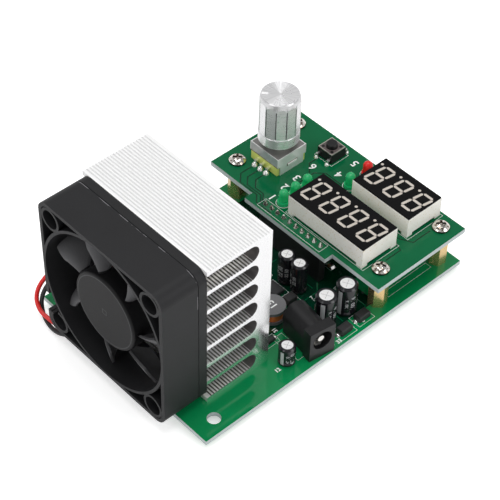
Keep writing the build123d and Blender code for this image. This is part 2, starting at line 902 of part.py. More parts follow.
def connector_strip():
    """The pin strip's plastic bar under the display board."""
    half = connector_width / 2
    strip = block(connector_x - half, connector_x + half, connector_low, connector_high,
                  upper_under - strip_height, upper_under)
    for y in connector_y:
        bore = pin_side / 2
        strip -= block(connector_x - bore, connector_x + bore, y - bore, y + bore,
                       upper_under - strip_height - past, upper_under + past)
    return strip


def connector_pins_row():
    """The ten square pins between the boards."""
    half = pin_side / 2
    return group([block(connector_x - half, connector_x + half, y - half, y + half,
                        board_top + contact_floor + contact_gap, upper_under) for y in connector_y])


# Displays
four_digit_x = upper_start + display_inset
three_digit_x = four_digit_x + display_depth + display_gap
display_top = upper_top + display_height
face_low = display_top - face_thickness
displays = {
    "four": (four_digit_x, display_near, four_digit_length, four_digit_count),
    "three": (three_digit_x, display_near, three_digit_length, three_digit_count),
}


def display_case(x, y, length):
    """A pale moulded case standing on four small feet."""
    case = block(x, x + display_depth, y, y + length, upper_top, face_low)
    foot = display_foot
    case -= block(x - past, x + display_depth + past, y + foot, y + length - foot,
                  upper_top - past, upper_top + display_foot_height)
    case -= block(x + foot, x + display_depth - foot, y - past, y + length + past,
                  upper_top - past, upper_top + display_foot_height)
    return case


def segment(length):
    """One bar of a digit, pointed at both ends, along the sketch's x."""
    half = length / 2 - segment_gap
    side = segment_width / 2
    return Polygon((-half, 0), (-half + side, side), (half - side, side), (half, 0),
                   (half - side, -side), (-half + side, -side), align=None)


def digit_marks(count, x, y, length):
    """The seven bars and the dot of each digit, as flat sketches from above."""
    marks = []
    bar_w = digit_width - segment_width
    bar_h = (digit_height - segment_width) / 2
    lean = tan(radians(digit_slant))
    first = y + length / 2 - (count - 1) * digit_pitch / 2
    middle = x + display_depth / 2
    for k in range(count):
        centre = first + k * digit_pitch - digit_shift
        for row in (-1, 0, 1):
            place = Pos(middle + row * bar_h, centre - row * bar_h * lean)
            marks.append(place * Rot(0, 0, 90) * segment(bar_w))
        for row in (-0.5, 0.5):
            for side in (-1, 1):
                place = Pos(middle + row * bar_h, centre + side * bar_w / 2 - row * bar_h * lean)
                marks.append(place * Rot(0, 0, -digit_slant) * segment(bar_h))
        dot = Pos(middle + bar_h, centre - bar_h * lean + digit_width / 2 + dot_offset)
        marks.append(dot * Circle(dot_radius))
    return marks


def display_face(x, y, length, count):
    """The dark face plate with a window for each bar and dot."""
    m = face_margin
    outline = Pos(x + display_depth / 2, y + length / 2) * Rectangle(display_depth - 2 * m, length - 2 * m)
    for mark in digit_marks(count, x, y, length):
        outline -= mark
    return extrude(Pos(0, 0, face_low) * outline, face_thickness)


def display_segments():
    """The pale light bars that fill the windows."""
    pieces = []
    for x, y, length, count in displays.values():
        for mark in digit_marks(count, x, y, length):
            pieces.append(extrude(Pos(0, 0, face_low) * mark, face_thickness, dir=(0, 0, 1)))
    return group(pieces)


def display_pin_places():
    """Two rows of pins under each display."""
    places = []
    for x, y, length, count in displays.values():
        first = y + length / 2 - (display_pins_in_row - 1) * pin_pitch / 2
        for row in (-1, 1):
            for k in range(display_pins_in_row):
                places.append((x + display_depth / 2 + row * display_pin_rows / 2, first + k * pin_pitch))
    return places


def display_pins():
    """The short visible stretch of each pin between case and board."""
    half = display_pin_side / 2
    top = upper_top + display_foot_height
    return group([block(x - half, x + half, y - half, y + half, upper_top, top)
                  for x, y in display_pin_places()])


# Lamps: three green ones in a row, then a green and a red one at the far end
green_lamp_places = [(upper_start + x, lamp_row_y) for x in lamp_row_x]
green_lamp_places.append((upper_start + load_lamp_x, end_lamps_y))
red_lamp_places = [(board_length - run_lamp_inset, end_lamps_y)]


def lamps(places):
    """Round indicator lamps with a flange and a domed top."""
    with BuildPart() as lamp:
        with BuildSketch(Plane.XZ):
            with BuildLine():
                straight = lamp_height - lamp_radius
                Polyline((0, lamp_height), (0, 0), (lamp_flange_radius, 0),
                         (lamp_flange_radius, lamp_flange_height), (lamp_radius, lamp_flange_height),
                         (lamp_radius, straight))
                half_way = (lamp_radius * cos(pi / 4), straight + lamp_radius * sin(pi / 4))
                ThreePointArc((lamp_radius, straight), half_way, (0, lamp_height))
            make_face()
        revolve(axis=Axis.Z)
    return group([Pos(x, y, upper_top) * lamp.part for x, y in places])


# Encoder
encoder_x = board_length - encoder_inset_x
encoder_y = board_width - encoder_inset_y
encoder_low = upper_top
encoder_base_top = encoder_low + encoder_base_height
encoder_top = encoder_low + encoder_height
bushing_top = encoder_top + bushing_length
wheel_low = encoder_low + wheel_lift
wheel_top = wheel_low + wheel_height
key_radius = shaft_radius - shaft_step
knob_low = encoder_top + knob_lift
encoder_pin_rows = {
    -1: [-encoder_pin_pitch, 0, encoder_pin_pitch],
    1: [-encoder_pin_pitch, encoder_pin_pitch],
}


def encoder_base():
    """The plastic base, hollow for the contact wheel."""
    half_x = encoder_width / 2
    half_y = encoder_length / 2 - shell_thickness
    base = block(encoder_x - half_x, encoder_x + half_x, encoder_y - half_y, encoder_y + half_y,
                 encoder_low, encoder_base_top)
    base -= rod(encoder_x, encoder_y, wheel_low - seat_gap, encoder_base_top + past,
                wheel_radius + wheel_room)
    return base - rod(encoder_x, encoder_y, encoder_low + encoder_floor, encoder_base_top,
                      shaft_radius + wheel_room)


def encoder_shell():
    """The bent metal cover with its threaded neck."""
    half_x = encoder_width / 2 + seat_gap
    half_y = encoder_length / 2
    t = shell_thickness
    cover = block(encoder_x - half_x, encoder_x + half_x, encoder_y - half_y, encoder_y + half_y,
                  encoder_base_top, encoder_top)
    cover -= block(encoder_x - half_x + t, encoder_x + half_x - t, encoder_y - half_y + t,
                   encoder_y + half_y - t, encoder_base_top - past, encoder_top - shell_roof)
    plate_x = half_x - shell_roof
    for side in (-1, 1):
        plate_y = encoder_y + side * (half_y - t / 2)
        cover += block(encoder_x - plate_x, encoder_x + plate_x, plate_y - t / 2, plate_y + t / 2,
                       encoder_low, encoder_base_top)
    cover += rod(encoder_x, encoder_y, encoder_top, bushing_top, bushing_radius)
    cover -= rod(encoder_x, encoder_y, encoder_base_top - past, bushing_top + past, shaft_radius + turn_gap)
    return cover


def encoder_pins():
    """Three bent pins on the left and two on the right."""
    return group([bent_leg(encoder_x + side * encoder_width / 2, encoder_y + offset, side, encoder_low,
                           encoder_pin_reach, encoder_pin_rise, encoder_pin_width, encoder_pin_thickness)
                  for side, offsets in encoder_pin_rows.items() for offset in offsets])


def encoder_wheel():
    """The contact wheel that turns with the shaft."""
    wheel = rod(encoder_x, encoder_y, wheel_low, wheel_top, wheel_radius)
    return wheel - rod(encoder_x, encoder_y, wheel_low - past, wheel_top + past, key_radius + slide_gap)


def encoder_shaft():
    """The shaft, stepped at the wheel, which slides down to press the switch."""
    low = encoder_low + encoder_floor + knob_travel + seat_gap
    step = wheel_top + knob_travel + seat_gap
    shaft = rod(encoder_x, encoder_y, low, step, key_radius)
    return shaft + rod(encoder_x, encoder_y, step, encoder_top + shaft_length, shaft_radius)


def knob():
    """The turned aluminium knob: a plain ring, flat panels between grooves, a dished top."""
    shoulder = knob_height - knob_chamfer_height
    inner = knob_radius - knob_groove_depth
    groove_top = flute_start + knob_groove_width
    with BuildPart() as body:
        with BuildSketch(Plane.XZ):
            with BuildLine():
                Polyline((0, knob_height - knob_dish), (0, knob_cavity_depth),
                         (shaft_radius, knob_cavity_depth), (knob_cavity_radius, knob_cavity_depth),
                         (knob_cavity_radius, 0), (knob_radius - knob_edge, 0), (knob_radius, knob_edge),
                         (knob_radius, flute_start), (inner, flute_start), (inner, groove_top),
                         (knob_radius, groove_top), (knob_radius, shoulder),
                         (knob_top_radius, knob_height - knob_edge),
                         (knob_top_radius - knob_edge, knob_height), (0, knob_height - knob_dish))
            make_face()
        revolve(axis=Axis.Z)
    part = body.part
    top_of_bore = encoder_top + shaft_length - knob_low
    part -= rod(0, 0, knob_cavity_depth - past, top_of_bore, shaft_radius)
    flute_stop = knob_height - flute_stop_drop
    middle = (groove_top + flute_stop) / 2
    spacing = 360 / flute_count
    side = flute_width / 2 ** 0.5
    for k in range(flute_count):
        groove = Pos(knob_radius, 0, middle) * Rot(0, 0, 45) * Box(side, side, flute_stop - groove_top)
        shaving = Pos(panel_distance + panel_cut / 2, 0, middle) * Box(panel_cut, knob_radius,
                                                                       flute_stop - groove_top)
        part -= Rot(0, 0, flute_phase + k * spacing) * groove
        part -= Rot(0, 0, flute_phase + (k + 0.5) * spacing) * shaving
    mark = block(knob_mark_start, knob_mark_start + knob_mark_length, -knob_mark_width / 2,
                 knob_mark_width / 2, knob_height - knob_mark_depth, knob_height)
    part += Rot(0, 0, knob_mark_azimuth) * mark
    return Pos(encoder_x, encoder_y, knob_low) * part


# Push button switch
switch_x = board_length - switch_inset_x
switch_y = board_width - switch_inset_y
switch_top = upper_top + switch_height


def switch_case():
    """The square black body, open inside for the button's collar."""
    half = switch_side / 2
    case = block(switch_x - half, switch_x + half, switch_y - half, switch_y + half,
                 upper_top, switch_top - switch_plate)
    return case - rod(switch_x, switch_y, upper_top + switch_floor, switch_top,
                      button_collar_radius + button_room)


def switch_cover():
    """The steel cover plate with the hole for the button."""
    half = switch_side / 2 - seat_gap
    plate = block(switch_x - half, switch_x + half, switch_y - half, switch_y + half,
                  switch_top - switch_plate, switch_top)
    return plate - rod(switch_x, switch_y, switch_top - past, switch_top + past, button_radius + slide_gap)


def switch_legs():
    """Four bent legs at the two sides."""
    return group([bent_leg(switch_x + side * switch_side / 2, switch_y + end * switch_leg_offset, side,
                           upper_top, switch_leg_reach, switch_leg_rise, switch_leg_width,
                           switch_leg_thickness)
                  for side in (-1, 1) for end in (-1, 1)])


def switch_button():
    """The round button with the collar that keeps it in."""
    under = switch_top - switch_plate
    stem = rod(switch_x, switch_y, under, switch_top + button_height, button_radius)
    stem = chamfer(stem.edges().group_by(Axis.Z)[-1], button_chamfer)
    low = under - button_collar_height - seat_gap
    stem += rod(switch_x, switch_y, low, under - seat_gap, button_collar_radius)
    return stem + rod(switch_x, switch_y, under - seat_gap, under, button_radius)


# Supply socket
jack_x = sink_end + jack_gap
jack_middle = jack_x + jack_width / 2
jack_block_back = jack_front + jack_block_depth
jack_back = jack_front + jack_length
jack_bore_end = jack_front + jack_bore_depth
bore_z = board_top + jack_bore_height
spring_low = bore_z - jack_bore_radius - jack_spring_pocket
spring_start = jack_front + jack_spring_front
jack_skew = Pos(jack_middle, jack_front) * Rot(0, 0, jack_turn) * Pos(-jack_middle, -jack_front)


def jack_body():
    """The moulded socket: a square mouth block and a round-topped barrel, soldered a little askew."""
    mouth = block(jack_x, jack_x + jack_width, jack_front, jack_block_back,
                  board_top, board_top + jack_height)
    r = jack_barrel_width / 2
    crown = board_top + jack_barrel_height - r
    foot = r - jack_ledge_width
    ledge = crown - jack_ledge_drop
    barrel = block(jack_middle - foot, jack_middle + foot, jack_block_back, jack_back, board_top, ledge)
    barrel += block(jack_middle - r, jack_middle + r, jack_block_back, jack_back, ledge, crown)
    barrel += rod_y(jack_middle, jack_block_back, jack_back, crown, r)
    body = mouth + barrel
    body -= rod_y(jack_middle, jack_front - past, jack_bore_end, bore_z, jack_bore_radius)
    half = jack_spring_width / 2 + slide_gap
    body -= block(jack_middle - half, jack_middle + half, spring_start, jack_bore_end, spring_low, bore_z)
    body -= rod_y(jack_middle, jack_bore_end - past, jack_bore_end + jack_tail_length, bore_z,
                  jack_tail_radius)
    return jack_skew * body


def jack_pin():
    """The centre pin, with a thinner tail held in the moulding."""
    pin = rod_y(jack_middle, jack_front + jack_pin_recess, jack_bore_end, bore_z, jack_pin_radius)
    pin += rod_y(jack_middle, jack_bore_end, jack_bore_end + jack_tail_length, bore_z,
                 jack_tail_radius)
    return jack_skew * pin


def jack_spring():
    """The outer contact, a bent strip in the bore's floor."""
    y0 = spring_start
    y1 = jack_bore_end
    low = spring_low
    end = low + jack_spring_thickness
    with BuildPart() as strip:
        with BuildSketch(Plane.YZ.offset(jack_middle)):
            with BuildLine():
                Polyline((y0, low), (y1, low), (y1, end))
                ThreePointArc((y1, end), ((y0 + y1) / 2, low + jack_spring_height), (y0, end))
                Line((y0, end), (y0, low))
            make_face()
        extrude(amount=jack_spring_width / 2, both=True)
    return jack_skew * strip.part


# Capacitors
def capacitors():
    """Round cans with a rolled neck and rounded edges."""
    pieces = []
    for x, y, radius, height in capacitor_places:
        with BuildPart() as can:
            with BuildSketch(Plane.XZ):
                with BuildLine():
                    e = capacitor_edge
                    g = capacitor_groove_height
                    h = capacitor_groove_half
                    neck = radius - capacitor_groove_depth
                    Polyline((0, height), (0, 0), (radius - e, 0), (radius, e), (radius, g - h), (neck, g),
                             (radius, g + h), (radius, height - e), (radius - e, height), (0, height))
                make_face()
            revolve(axis=Axis.Z)
        pieces.append(Pos(sink_end + x, y, board_top) * can.part)
    return pieces


def capacitor_sleeves():
    """The printed sleeves, each a can without its bare top disc."""
    sleeves = []
    for (x, y, radius, height), can in zip(capacitor_places, capacitors()):
        low = board_top + height - vent_drop - vent_thickness
        sleeves.append(can - rod(sink_end + x, y, low, board_top + height + past, radius * vent_share))
    return group(sleeves)


def capacitor_tops():
    """The bare aluminium top discs."""
    discs = []
    for x, y, radius, height in capacitor_places:
        top = board_top + height - vent_drop
        discs.append(rod(sink_end + x, y, top - vent_thickness, top, radius * vent_share))
    return group(discs)


# Inductor
inductor_x = sink_end + inductor_gap


def inductor_core():
    """The ferrite drum: two flanges on a post."""
    x, y = inductor_x, inductor_y
    top = board_top + inductor_height
    core = rod(x, y, board_top, board_top + inductor_flange, inductor_radius)
    core += rod(x, y, board_top + inductor_flange, top - inductor_flange, inductor_core_radius)
    return core + rod(x, y, top - inductor_flange, top, inductor_radius)


def inductor_winding():
    """The copper winding between the flanges."""
    x, y = inductor_x, inductor_y
    z0 = board_top + inductor_flange
    z1 = board_top + inductor_height - inductor_flange
    return rod(x, y, z0, z1, winding_radius) - rod(x, y, z0 - past, z1 + past, inductor_core_radius)


# Small surface parts
chip_places = [(sink_end + x, *rest) for x, *rest in middle_chips]
chip_places += [(upper_start + x, *rest) for x, *rest in sheltered_chips]
small_part_places = [(sink_end + x, *rest) for x, *rest in middle_small_parts]
small_part_places += [(upper_start + x, *rest) for x, *rest in sheltered_small_parts]


def chips():
    """The moulded packages of chips and diodes."""
    pieces = []
    for x, y, width, length, height in chip_places:
        body = block(x - width / 2, x + width / 2, y - length / 2, y + length / 2,
                     board_top + chip_lift, board_top + height)
        pieces.append(chamfer(body.edges().group_by(Axis.Z)[-1], chip_edge))
    return group(pieces)


def chip_legs():
    """The tinned feet at two sides of each package."""
    pieces = []
    top = board_top + chip_leg_thickness
    for x, y, width, length, height in chip_places:
        many = min(width, length) > many_legged_side
        pins = 4 if many else 1
        half = (chip_leg_width if many else chip_tab_width) / 2
        for side in (-1, 1):
            face = x + side * width / 2
            tip = face + side * chip_leg_reach
            for k in range(pins):
                leg_y = y + (k - (pins - 1) / 2) * chip_leg_pitch
                pieces.append(block(min(face, tip), max(face, tip), leg_y - half, leg_y + half,
                                    board_top, top))
    return group(pieces)


def small_parts():
    """Chip resistors and capacitors."""
    top = board_top + small_part_height
    return group([block(x - a / 2, x + a / 2, y - b / 2, y + b / 2, board_top, top)
                  for x, y, a, b in small_part_places])


# Load terminal block
terminal_x = sink_end + terminal_gap
terminal_width = terminal_pitch * terminal_poles
terminal_far = board_width - terminal_edge_gap
terminal_near = terminal_far - terminal_depth
terminal_top = board_top + terminal_height
first_pole = terminal_x - (terminal_poles - 1) * terminal_pitch / 2
pole_x = [first_pole + k * terminal_pitch for k in range(terminal_poles)]
cage_y = (terminal_near + terminal_far) / 2
cage_half_x = wire_mouth_width / 2 + clamp_wall - seat_gap
cage_half_y = cage_length / 2
cage_low = board_top + wire_mouth_low - cage_drop
cage_top = cage_low + clamp_wall + wire_mouth_height + cage_roof + clamp_head_drop - seat_gap
head_top = terminal_top - clamp_head_drop
head_low = head_top - clamp_screw_head_height


def terminal_block():
    """The moulded housing with wire mouths and screw wells."""
    half = terminal_width / 2
    room_x = cage_half_x + slide_gap
    room_y = cage_half_y + slide_gap
    body = block(terminal_x - half, terminal_x + half, terminal_near, terminal_far,
                 board_top, terminal_top)
    body = chamfer(body.edges().group_by(Axis.Z)[-1].sort_by(Axis.Y)[-1], terminal_chamfer)
    for x in pole_x:
        body -= block(x - wire_mouth_width / 2, x + wire_mouth_width / 2, cage_y, terminal_far + past,
                      board_top + wire_mouth_low, board_top + wire_mouth_low + wire_mouth_height)
        body -= block(x - room_x, x + room_x, cage_y - room_y, cage_y + room_y,
                      cage_low - seat_gap, cage_top + clamp_travel + seat_gap)
        body -= rod(x, cage_y, cage_top, head_low, clamp_screw_radius + turn_gap)
        body -= rod(x, cage_y, head_low, terminal_top + past, clamp_screw_head_radius + turn_gap)
    return body


def clamp_screw(x):
    """A slotted screw that stays in place and draws the cage up."""
    screw = rod(x, cage_y, cage_top - clamp_screw_overlap, head_low, clamp_screw_radius)
    screw += rod(x, cage_y, head_low, head_top, clamp_screw_head_radius)
    half = clamp_slot_width / 2
    return screw - block(x - half, x + half, cage_y - clamp_screw_head_radius,
                         cage_y + clamp_screw_head_radius, head_top - clamp_slot_depth, head_top + past)


def clamp_cage(x):
    """The square cage that lifts the wire against the fixed tongue."""
    cage = block(x - cage_half_x, x + cage_half_x, cage_y - cage_half_y, cage_y + cage_half_y,
                 cage_low, cage_top)
    inner = cage_half_x - clamp_wall
    cage -= block(x - inner, x + inner, cage_y - cage_length, cage_y + cage_length,
                  cage_low + clamp_wall, cage_top - cage_roof)
    return cage - rod(x, cage_y, cage_top - 2 * cage_roof, cage_top + past, clamp_screw_radius + turn_gap)


# Solder joints
def main_joint_places():
    """Where leads come through the main board."""
    places = [(connector_x, y) for y in connector_y]
    for x, y, radius, height in capacitor_places:
        for side in (-1, 1):
            places.append((sink_end + x + side * capacitor_leg_spacing / 2, y))
    places += [(transistor_leg_x, y) for y in transistor_legs]
    places += [(x, cage_y) for x in pole_x]
    places += [(fan_socket_x, y) for y in (red_y, black_y)]
    places += [(inductor_x, inductor_y + side * inductor_leg_spacing / 2) for side in (-1, 1)]
    for x, y in jack_joint_offsets:
        spot = (jack_skew * Pos(jack_middle + x, jack_front + y)).position
        places.append((spot.X, spot.Y))
    return places


def display_joint_places():
    """Where leads come through the display board."""
    places = list(display_pin_places())
    for x, y in green_lamp_places + red_lamp_places:
        places += [(x, y - pin_pitch / 2), (x, y + pin_pitch / 2)]
    foot = encoder_width / 2 + encoder_pin_reach - encoder_pin_thickness / 2
    for side, offsets in encoder_pin_rows.items():
        places += [(encoder_x + side * foot, encoder_y + offset) for offset in offsets]
    foot = switch_side / 2 + switch_leg_reach - switch_leg_thickness / 2
    for side in (-1, 1):
        places += [(switch_x + side * foot, switch_y + end * switch_leg_offset) for end in (-1, 1)]
    return places


def solder_joints(places, face_z, up):
    """One joint at each place on that face."""
    return group([joint(x, y, face_z, up) for x, y in places])


def all_solder_joints():
    """The joints under both boards, and the connector row's on top of the display board."""
    under_main = solder_joints(main_joint_places(), board_under, False)
    under_display = solder_joints(display_joint_places(), upper_under, False)
    on_display = solder_joints([(connector_x, y) for y in connector_y], upper_top, True)
    return group([under_main, under_display, on_display])


four = displays["four"]
three = displays["three"]
nodes = {
    "main_board": main_board(),
    "display_board": display_board(),
    "board_pillars": pillars(),
    "upper_pillar_screws": pillar_screws(True),
    "lower_pillar_screws": pillar_screws(False),
    "heat_sink": heat_sink(),
    "heat_sink_screws": heat_sink_screws(),
    "power_transistor": power_transistor(),
    "transistor_pad": transistor_pad(),
    "transistor_screw": transistor_screw(),
    "fan_frame": fan_frame(),
    "fan_screws": fan_screws(),
    "fan_rotor": fan_rotor(),
    "fan_magnet": fan_magnet(),
    "fan_shaft": fan_shaft(),
    "fan_bearing": fan_bearing(),
    "fan_stator": fan_stator(),
    "fan_circuit_board": fan_circuit_board(),
    "fan_lead_red": lead(red_route, "red lead"),
    "fan_lead_black": lead(black_route, "black lead"),
    "fan_plug": fan_plug(),
    "fan_socket": fan_socket(),
    "fan_socket_pins": fan_socket_pins(),
    "connector_socket": connector_socket(),
    "connector_strip": connector_strip(),
    "connector_pins": connector_pins_row(),
    "four_digit_case": display_case(*four[:3]),
    "three_digit_case": display_case(*three[:3]),
    "four_digit_face": display_face(*four),
    "three_digit_face": display_face(*three),
    "digit_segments": display_segments(),
    "display_pins": display_pins(),
    "green_lamps": lamps(green_lamp_places),
    "red_lamp": lamps(red_lamp_places),
    "encoder_base": encoder_base(),
    "encoder_shell": encoder_shell(),
    "encoder_pins": encoder_pins(),
    "encoder_wheel": encoder_wheel(),
    "encoder_shaft": encoder_shaft(),
    "knob": knob(),
    "switch_case": switch_case(),
    "switch_cover": switch_cover(),
    "switch_legs": switch_legs(),
    "switch_button": switch_button(),
    "jack_body": jack_body(),
    "jack_pin": jack_pin(),
    "jack_spring": jack_spring(),
    "capacitor_sleeves": capacitor_sleeves(),
    "capacitor_tops": capacitor_tops(),
    "inductor_core": inductor_core(),
    "inductor_winding": inductor_winding(),
    "chips": chips(),
    "chip_legs": chip_legs(),
    "small_parts": small_parts(),
    "terminal_block": terminal_block(),
    "terminal_screw_near": clamp_screw(pole_x[0]),
    "terminal_screw_far": clamp_screw(pole_x[1]),
    "terminal_cage_near": clamp_cage(pole_x[0]),
    "terminal_cage_far": clamp_cage(pole_x[1]),
    "solder_joints": all_solder_joints(),
}

# Move everything to the part's own origin and write one file for each sub-part
origin = Pos(-mount_hole_inset_x, -middle_y, board_thickness)
os.makedirs("parts", exist_ok=True)
for name, shape in nodes.items():
    export_step(origin * shape, os.path.join("parts", name + ".step"))
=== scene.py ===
from math import cos, pi, radians, sin

import bmesh
import bpy
from mathutils import Matrix, Vector


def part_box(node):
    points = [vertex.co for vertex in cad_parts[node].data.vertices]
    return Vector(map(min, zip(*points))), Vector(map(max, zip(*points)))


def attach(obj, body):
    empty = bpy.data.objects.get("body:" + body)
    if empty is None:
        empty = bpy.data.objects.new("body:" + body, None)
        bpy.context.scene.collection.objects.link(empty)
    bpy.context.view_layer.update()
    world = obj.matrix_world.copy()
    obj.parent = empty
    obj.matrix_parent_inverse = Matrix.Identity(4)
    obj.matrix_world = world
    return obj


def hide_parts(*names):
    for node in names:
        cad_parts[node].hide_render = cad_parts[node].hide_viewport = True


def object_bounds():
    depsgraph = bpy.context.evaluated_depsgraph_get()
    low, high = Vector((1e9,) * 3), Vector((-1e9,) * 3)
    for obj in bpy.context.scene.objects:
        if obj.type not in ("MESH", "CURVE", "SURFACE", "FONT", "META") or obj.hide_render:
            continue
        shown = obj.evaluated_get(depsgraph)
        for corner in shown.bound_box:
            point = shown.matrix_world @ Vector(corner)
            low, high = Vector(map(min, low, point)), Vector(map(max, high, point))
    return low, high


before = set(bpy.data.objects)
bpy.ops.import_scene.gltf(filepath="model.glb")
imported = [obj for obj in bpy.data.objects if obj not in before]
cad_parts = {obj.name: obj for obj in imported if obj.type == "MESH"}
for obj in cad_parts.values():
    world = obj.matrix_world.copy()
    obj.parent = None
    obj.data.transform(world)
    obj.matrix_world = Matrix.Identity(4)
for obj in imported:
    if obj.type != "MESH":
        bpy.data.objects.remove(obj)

mm = 0.001
cad_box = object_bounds()


# The camera stands up and to the left of the board's fan end, as the photographer did.
# It is a long lens, aimed a little to the fan side of the board's middle.
aim = Vector((36.577, -4.577, 21.6)) * mm
aim_turn = radians(43.856)
aim_height = radians(45.904)
camera_roll = radians(1.611)
camera_distance = 455.33 * mm
lens_length = 117.35
away = Vector((-sin(aim_turn) * cos(aim_height), -cos(aim_turn) * cos(aim_height), sin(aim_height)))
level = away.cross(Vector((0, 0, -1))).normalized()
upright = away.cross(level)
across = level * cos(camera_roll) + upright * sin(camera_roll)
upward = upright * cos(camera_roll) - level * sin(camera_roll)
camera = bpy.data.objects.new("camera", bpy.data.cameras.new("camera"))
camera.data.lens = lens_length
camera.data.clip_start = 10 * mm
camera_turn = Matrix((across, upward, away)).transposed().to_4x4()
camera.matrix_world = Matrix.Translation(aim + away * camera_distance) @ camera_turn
bpy.context.scene.collection.objects.link(camera)
bpy.context.scene.camera = camera
bpy.context.scene.view_settings.view_transform = "Standard"


# The studio: a white floor far wider than the board, a white sweep behind it that fades to
# a dim ceiling, and three soft boxes, over the top and at the two sides the camera sees.
def soft_box(name, place, size, power):
    """A square lamp that faces the middle of the board, in metres and watts."""
    lamp = bpy.data.objects.new(name, bpy.data.lights.new(name, "AREA"))
    lamp.data.size = size
    lamp.data.energy = power
    lamp.location = place
    lamp.rotation_mode = "QUATERNION"
    lamp.rotation_quaternion = (Vector(place) - aim).to_track_quat("Z", "Y")
    bpy.context.scene.collection.objects.link(lamp)


soft_box("top_box", place=(0.05, 0.05, 0.95), size=0.70, power=4.8)
soft_box("near_box", place=(0.35, -0.80, 0.60), size=0.50, power=2.0)
soft_box("fan_side_box", place=(-0.85, 0.05, 0.60), size=0.50, power=1.5)

sky = bpy.data.worlds.new("sky")
sky.use_nodes = True
sky_nodes = sky.node_tree.nodes
sky_links = sky.node_tree.links
sky_place = sky_nodes.new("ShaderNodeTexCoord")
sky_parts = sky_nodes.new("ShaderNodeSeparateXYZ")
sky_fade = sky_nodes.new("ShaderNodeValToRGB")
sky_ramp = sky_fade.color_ramp.elements
sky_stops = ((0.15, 0.84), (0.55, 0.46), (0.82, 0.38), (0.94, 0.06))
while len(sky_ramp) < len(sky_stops):
    sky_ramp.new(1)
for stop, (height, glow) in zip(sky_ramp, sky_stops):
    stop.position = height
    stop.color = (glow, glow, glow, 1)
sky_links.new(sky_place.outputs["Generated"], sky_parts.inputs["Vector"])
sky_links.new(sky_parts.outputs["Z"], sky_fade.inputs["Fac"])
sky_links.new(sky_fade.outputs["Color"], sky_nodes["Background"].inputs["Color"])
bpy.context.scene.world = sky


# Two thin stranded wires leave the fan's underside at its far rear corner, one red and one
# black, in smooth PVC. They loop out beside the board's corner and rise to the fan's plug.
class Field:
    """A value that varies over a surface, so that a finish reads as ordinary sums."""

    def __init__(self, finish, socket):
        self.finish = finish
        self.socket = socket

    def __add__(self, other):
        return self.finish.math("ADD", self, other)

    def __radd__(self, other):
        return self.finish.math("ADD", other, self)

    def __sub__(self, other):
        return self.finish.math("SUBTRACT", self, other)

    def __rsub__(self, other):
        return self.finish.math("SUBTRACT", other, self)

    def __mul__(self, other):
        return self.finish.math("MULTIPLY", self, other)

    def __rmul__(self, other):
        return self.finish.math("MULTIPLY", other, self)

    def __truediv__(self, other):
        return self.finish.math("DIVIDE", self, other)

    def __lt__(self, other):
        return self.finish.math("LESS_THAN", self, other)

    def __gt__(self, other):
        return self.finish.math("GREATER_THAN", self, other)

    def __abs__(self):
        return self.finish.math("ABSOLUTE", self)


class Finish:
    """One material: a Principled shader and the nodes that its sockets need."""

    def __init__(self, name, colour=None, roughness=0.5, metallic=0.0, **sockets):
        self.material = bpy.data.materials.new(name)
        self.material.use_nodes = True
        self.tree = self.material.node_tree
        self.shader = self.tree.nodes["Principled BSDF"]
        if colour:
            self.set("Base Color", (*colour, 1))
        self.set("Roughness", roughness)
        self.set("Metallic", metallic)
        for socket, value in sockets.items():
            self.set(socket.replace("_", " "), value)

    def set(self, socket, value):
        """Gives the shader's socket a value, or what varies."""
        self.feed(self.shader.inputs[socket], value)

    def feed(self, socket, value):
        """Links what varies to a socket, or writes a plain value in it."""
        if isinstance(value, Field):
            self.tree.links.new(value.socket, socket)
        else:
            socket.default_value = value

    def node(self, kind, settings, inputs, output=0):
        """A node of that kind: its settings come first, then its inputs."""
        node = self.tree.nodes.new("ShaderNode" + kind)
        for name, value in settings.items():
            setattr(node, name, value)
        for name, value in inputs.items():
            self.feed(node.inputs[name], value)
        return Field(self, node.outputs[output])

    def math(self, operation, *values):
        """A sum on values, by the name of Blender's operation."""
        return self.node("Math", {"operation": operation}, dict(enumerate(values)))

    def place(self):
        """Where a point of the surface is, in the part's own metres."""
        return self.node("TexCoord", {}, {}, output="Object")

    def axis(self, letter):
        """One coordinate of the place."""
        return self.node("SeparateXYZ", {}, {"Vector": self.place()}, output=letter)

    def facing(self, letter):
        """One coordinate of the surface's own direction."""
        direction = self.node("NewGeometry", {}, {}, output="Normal")
        return self.node("SeparateXYZ", {}, {"Vector": direction}, output=letter)

    def noise(self, size, detail=2.0, stretch=(1, 1, 1)):
        """Soft spots of about that size in metres, drawn out along an axis by stretch."""
        scale = [1 / (size * s) for s in stretch]
        where = self.node("VectorMath", {"operation": "MULTIPLY"}, {0: self.place(), 1: scale})
        return self.node("TexNoise", {}, {"Vector": where, "Scale": 1.0, "Detail": detail})

    def mix(self, share, first, second):
        """A colour between two, by share. The node's colour sockets are known by number only."""
        values = [v if isinstance(v, Field) else (*v, 1) for v in (first, second)]
        return self.node("Mix", {"data_type": "RGBA"}, {0: share, 6: values[0], 7: values[1]}, output=2)

    def mottle(self, size, first, second):
        """Colours the surface from one tone to another, in soft spots of about that size."""
        self.set("Base Color", self.mix(self.noise(size), first, second))

    def polish(self, size, smoothest, spread, stretch=(1, 1, 1)):
        """Makes the gloss uneven, in soft spots of about that size."""
        self.set("Roughness", smoothest + self.noise(size, stretch=stretch) * spread)

    def bump(self, height, depth, strength):
        """Presses a height between 0 and 1 into the surface, that deep in metres."""
        self.set("Normal", self.node("Bump", {}, {"Height": height, "Distance": depth,
                                                  "Strength": strength}))


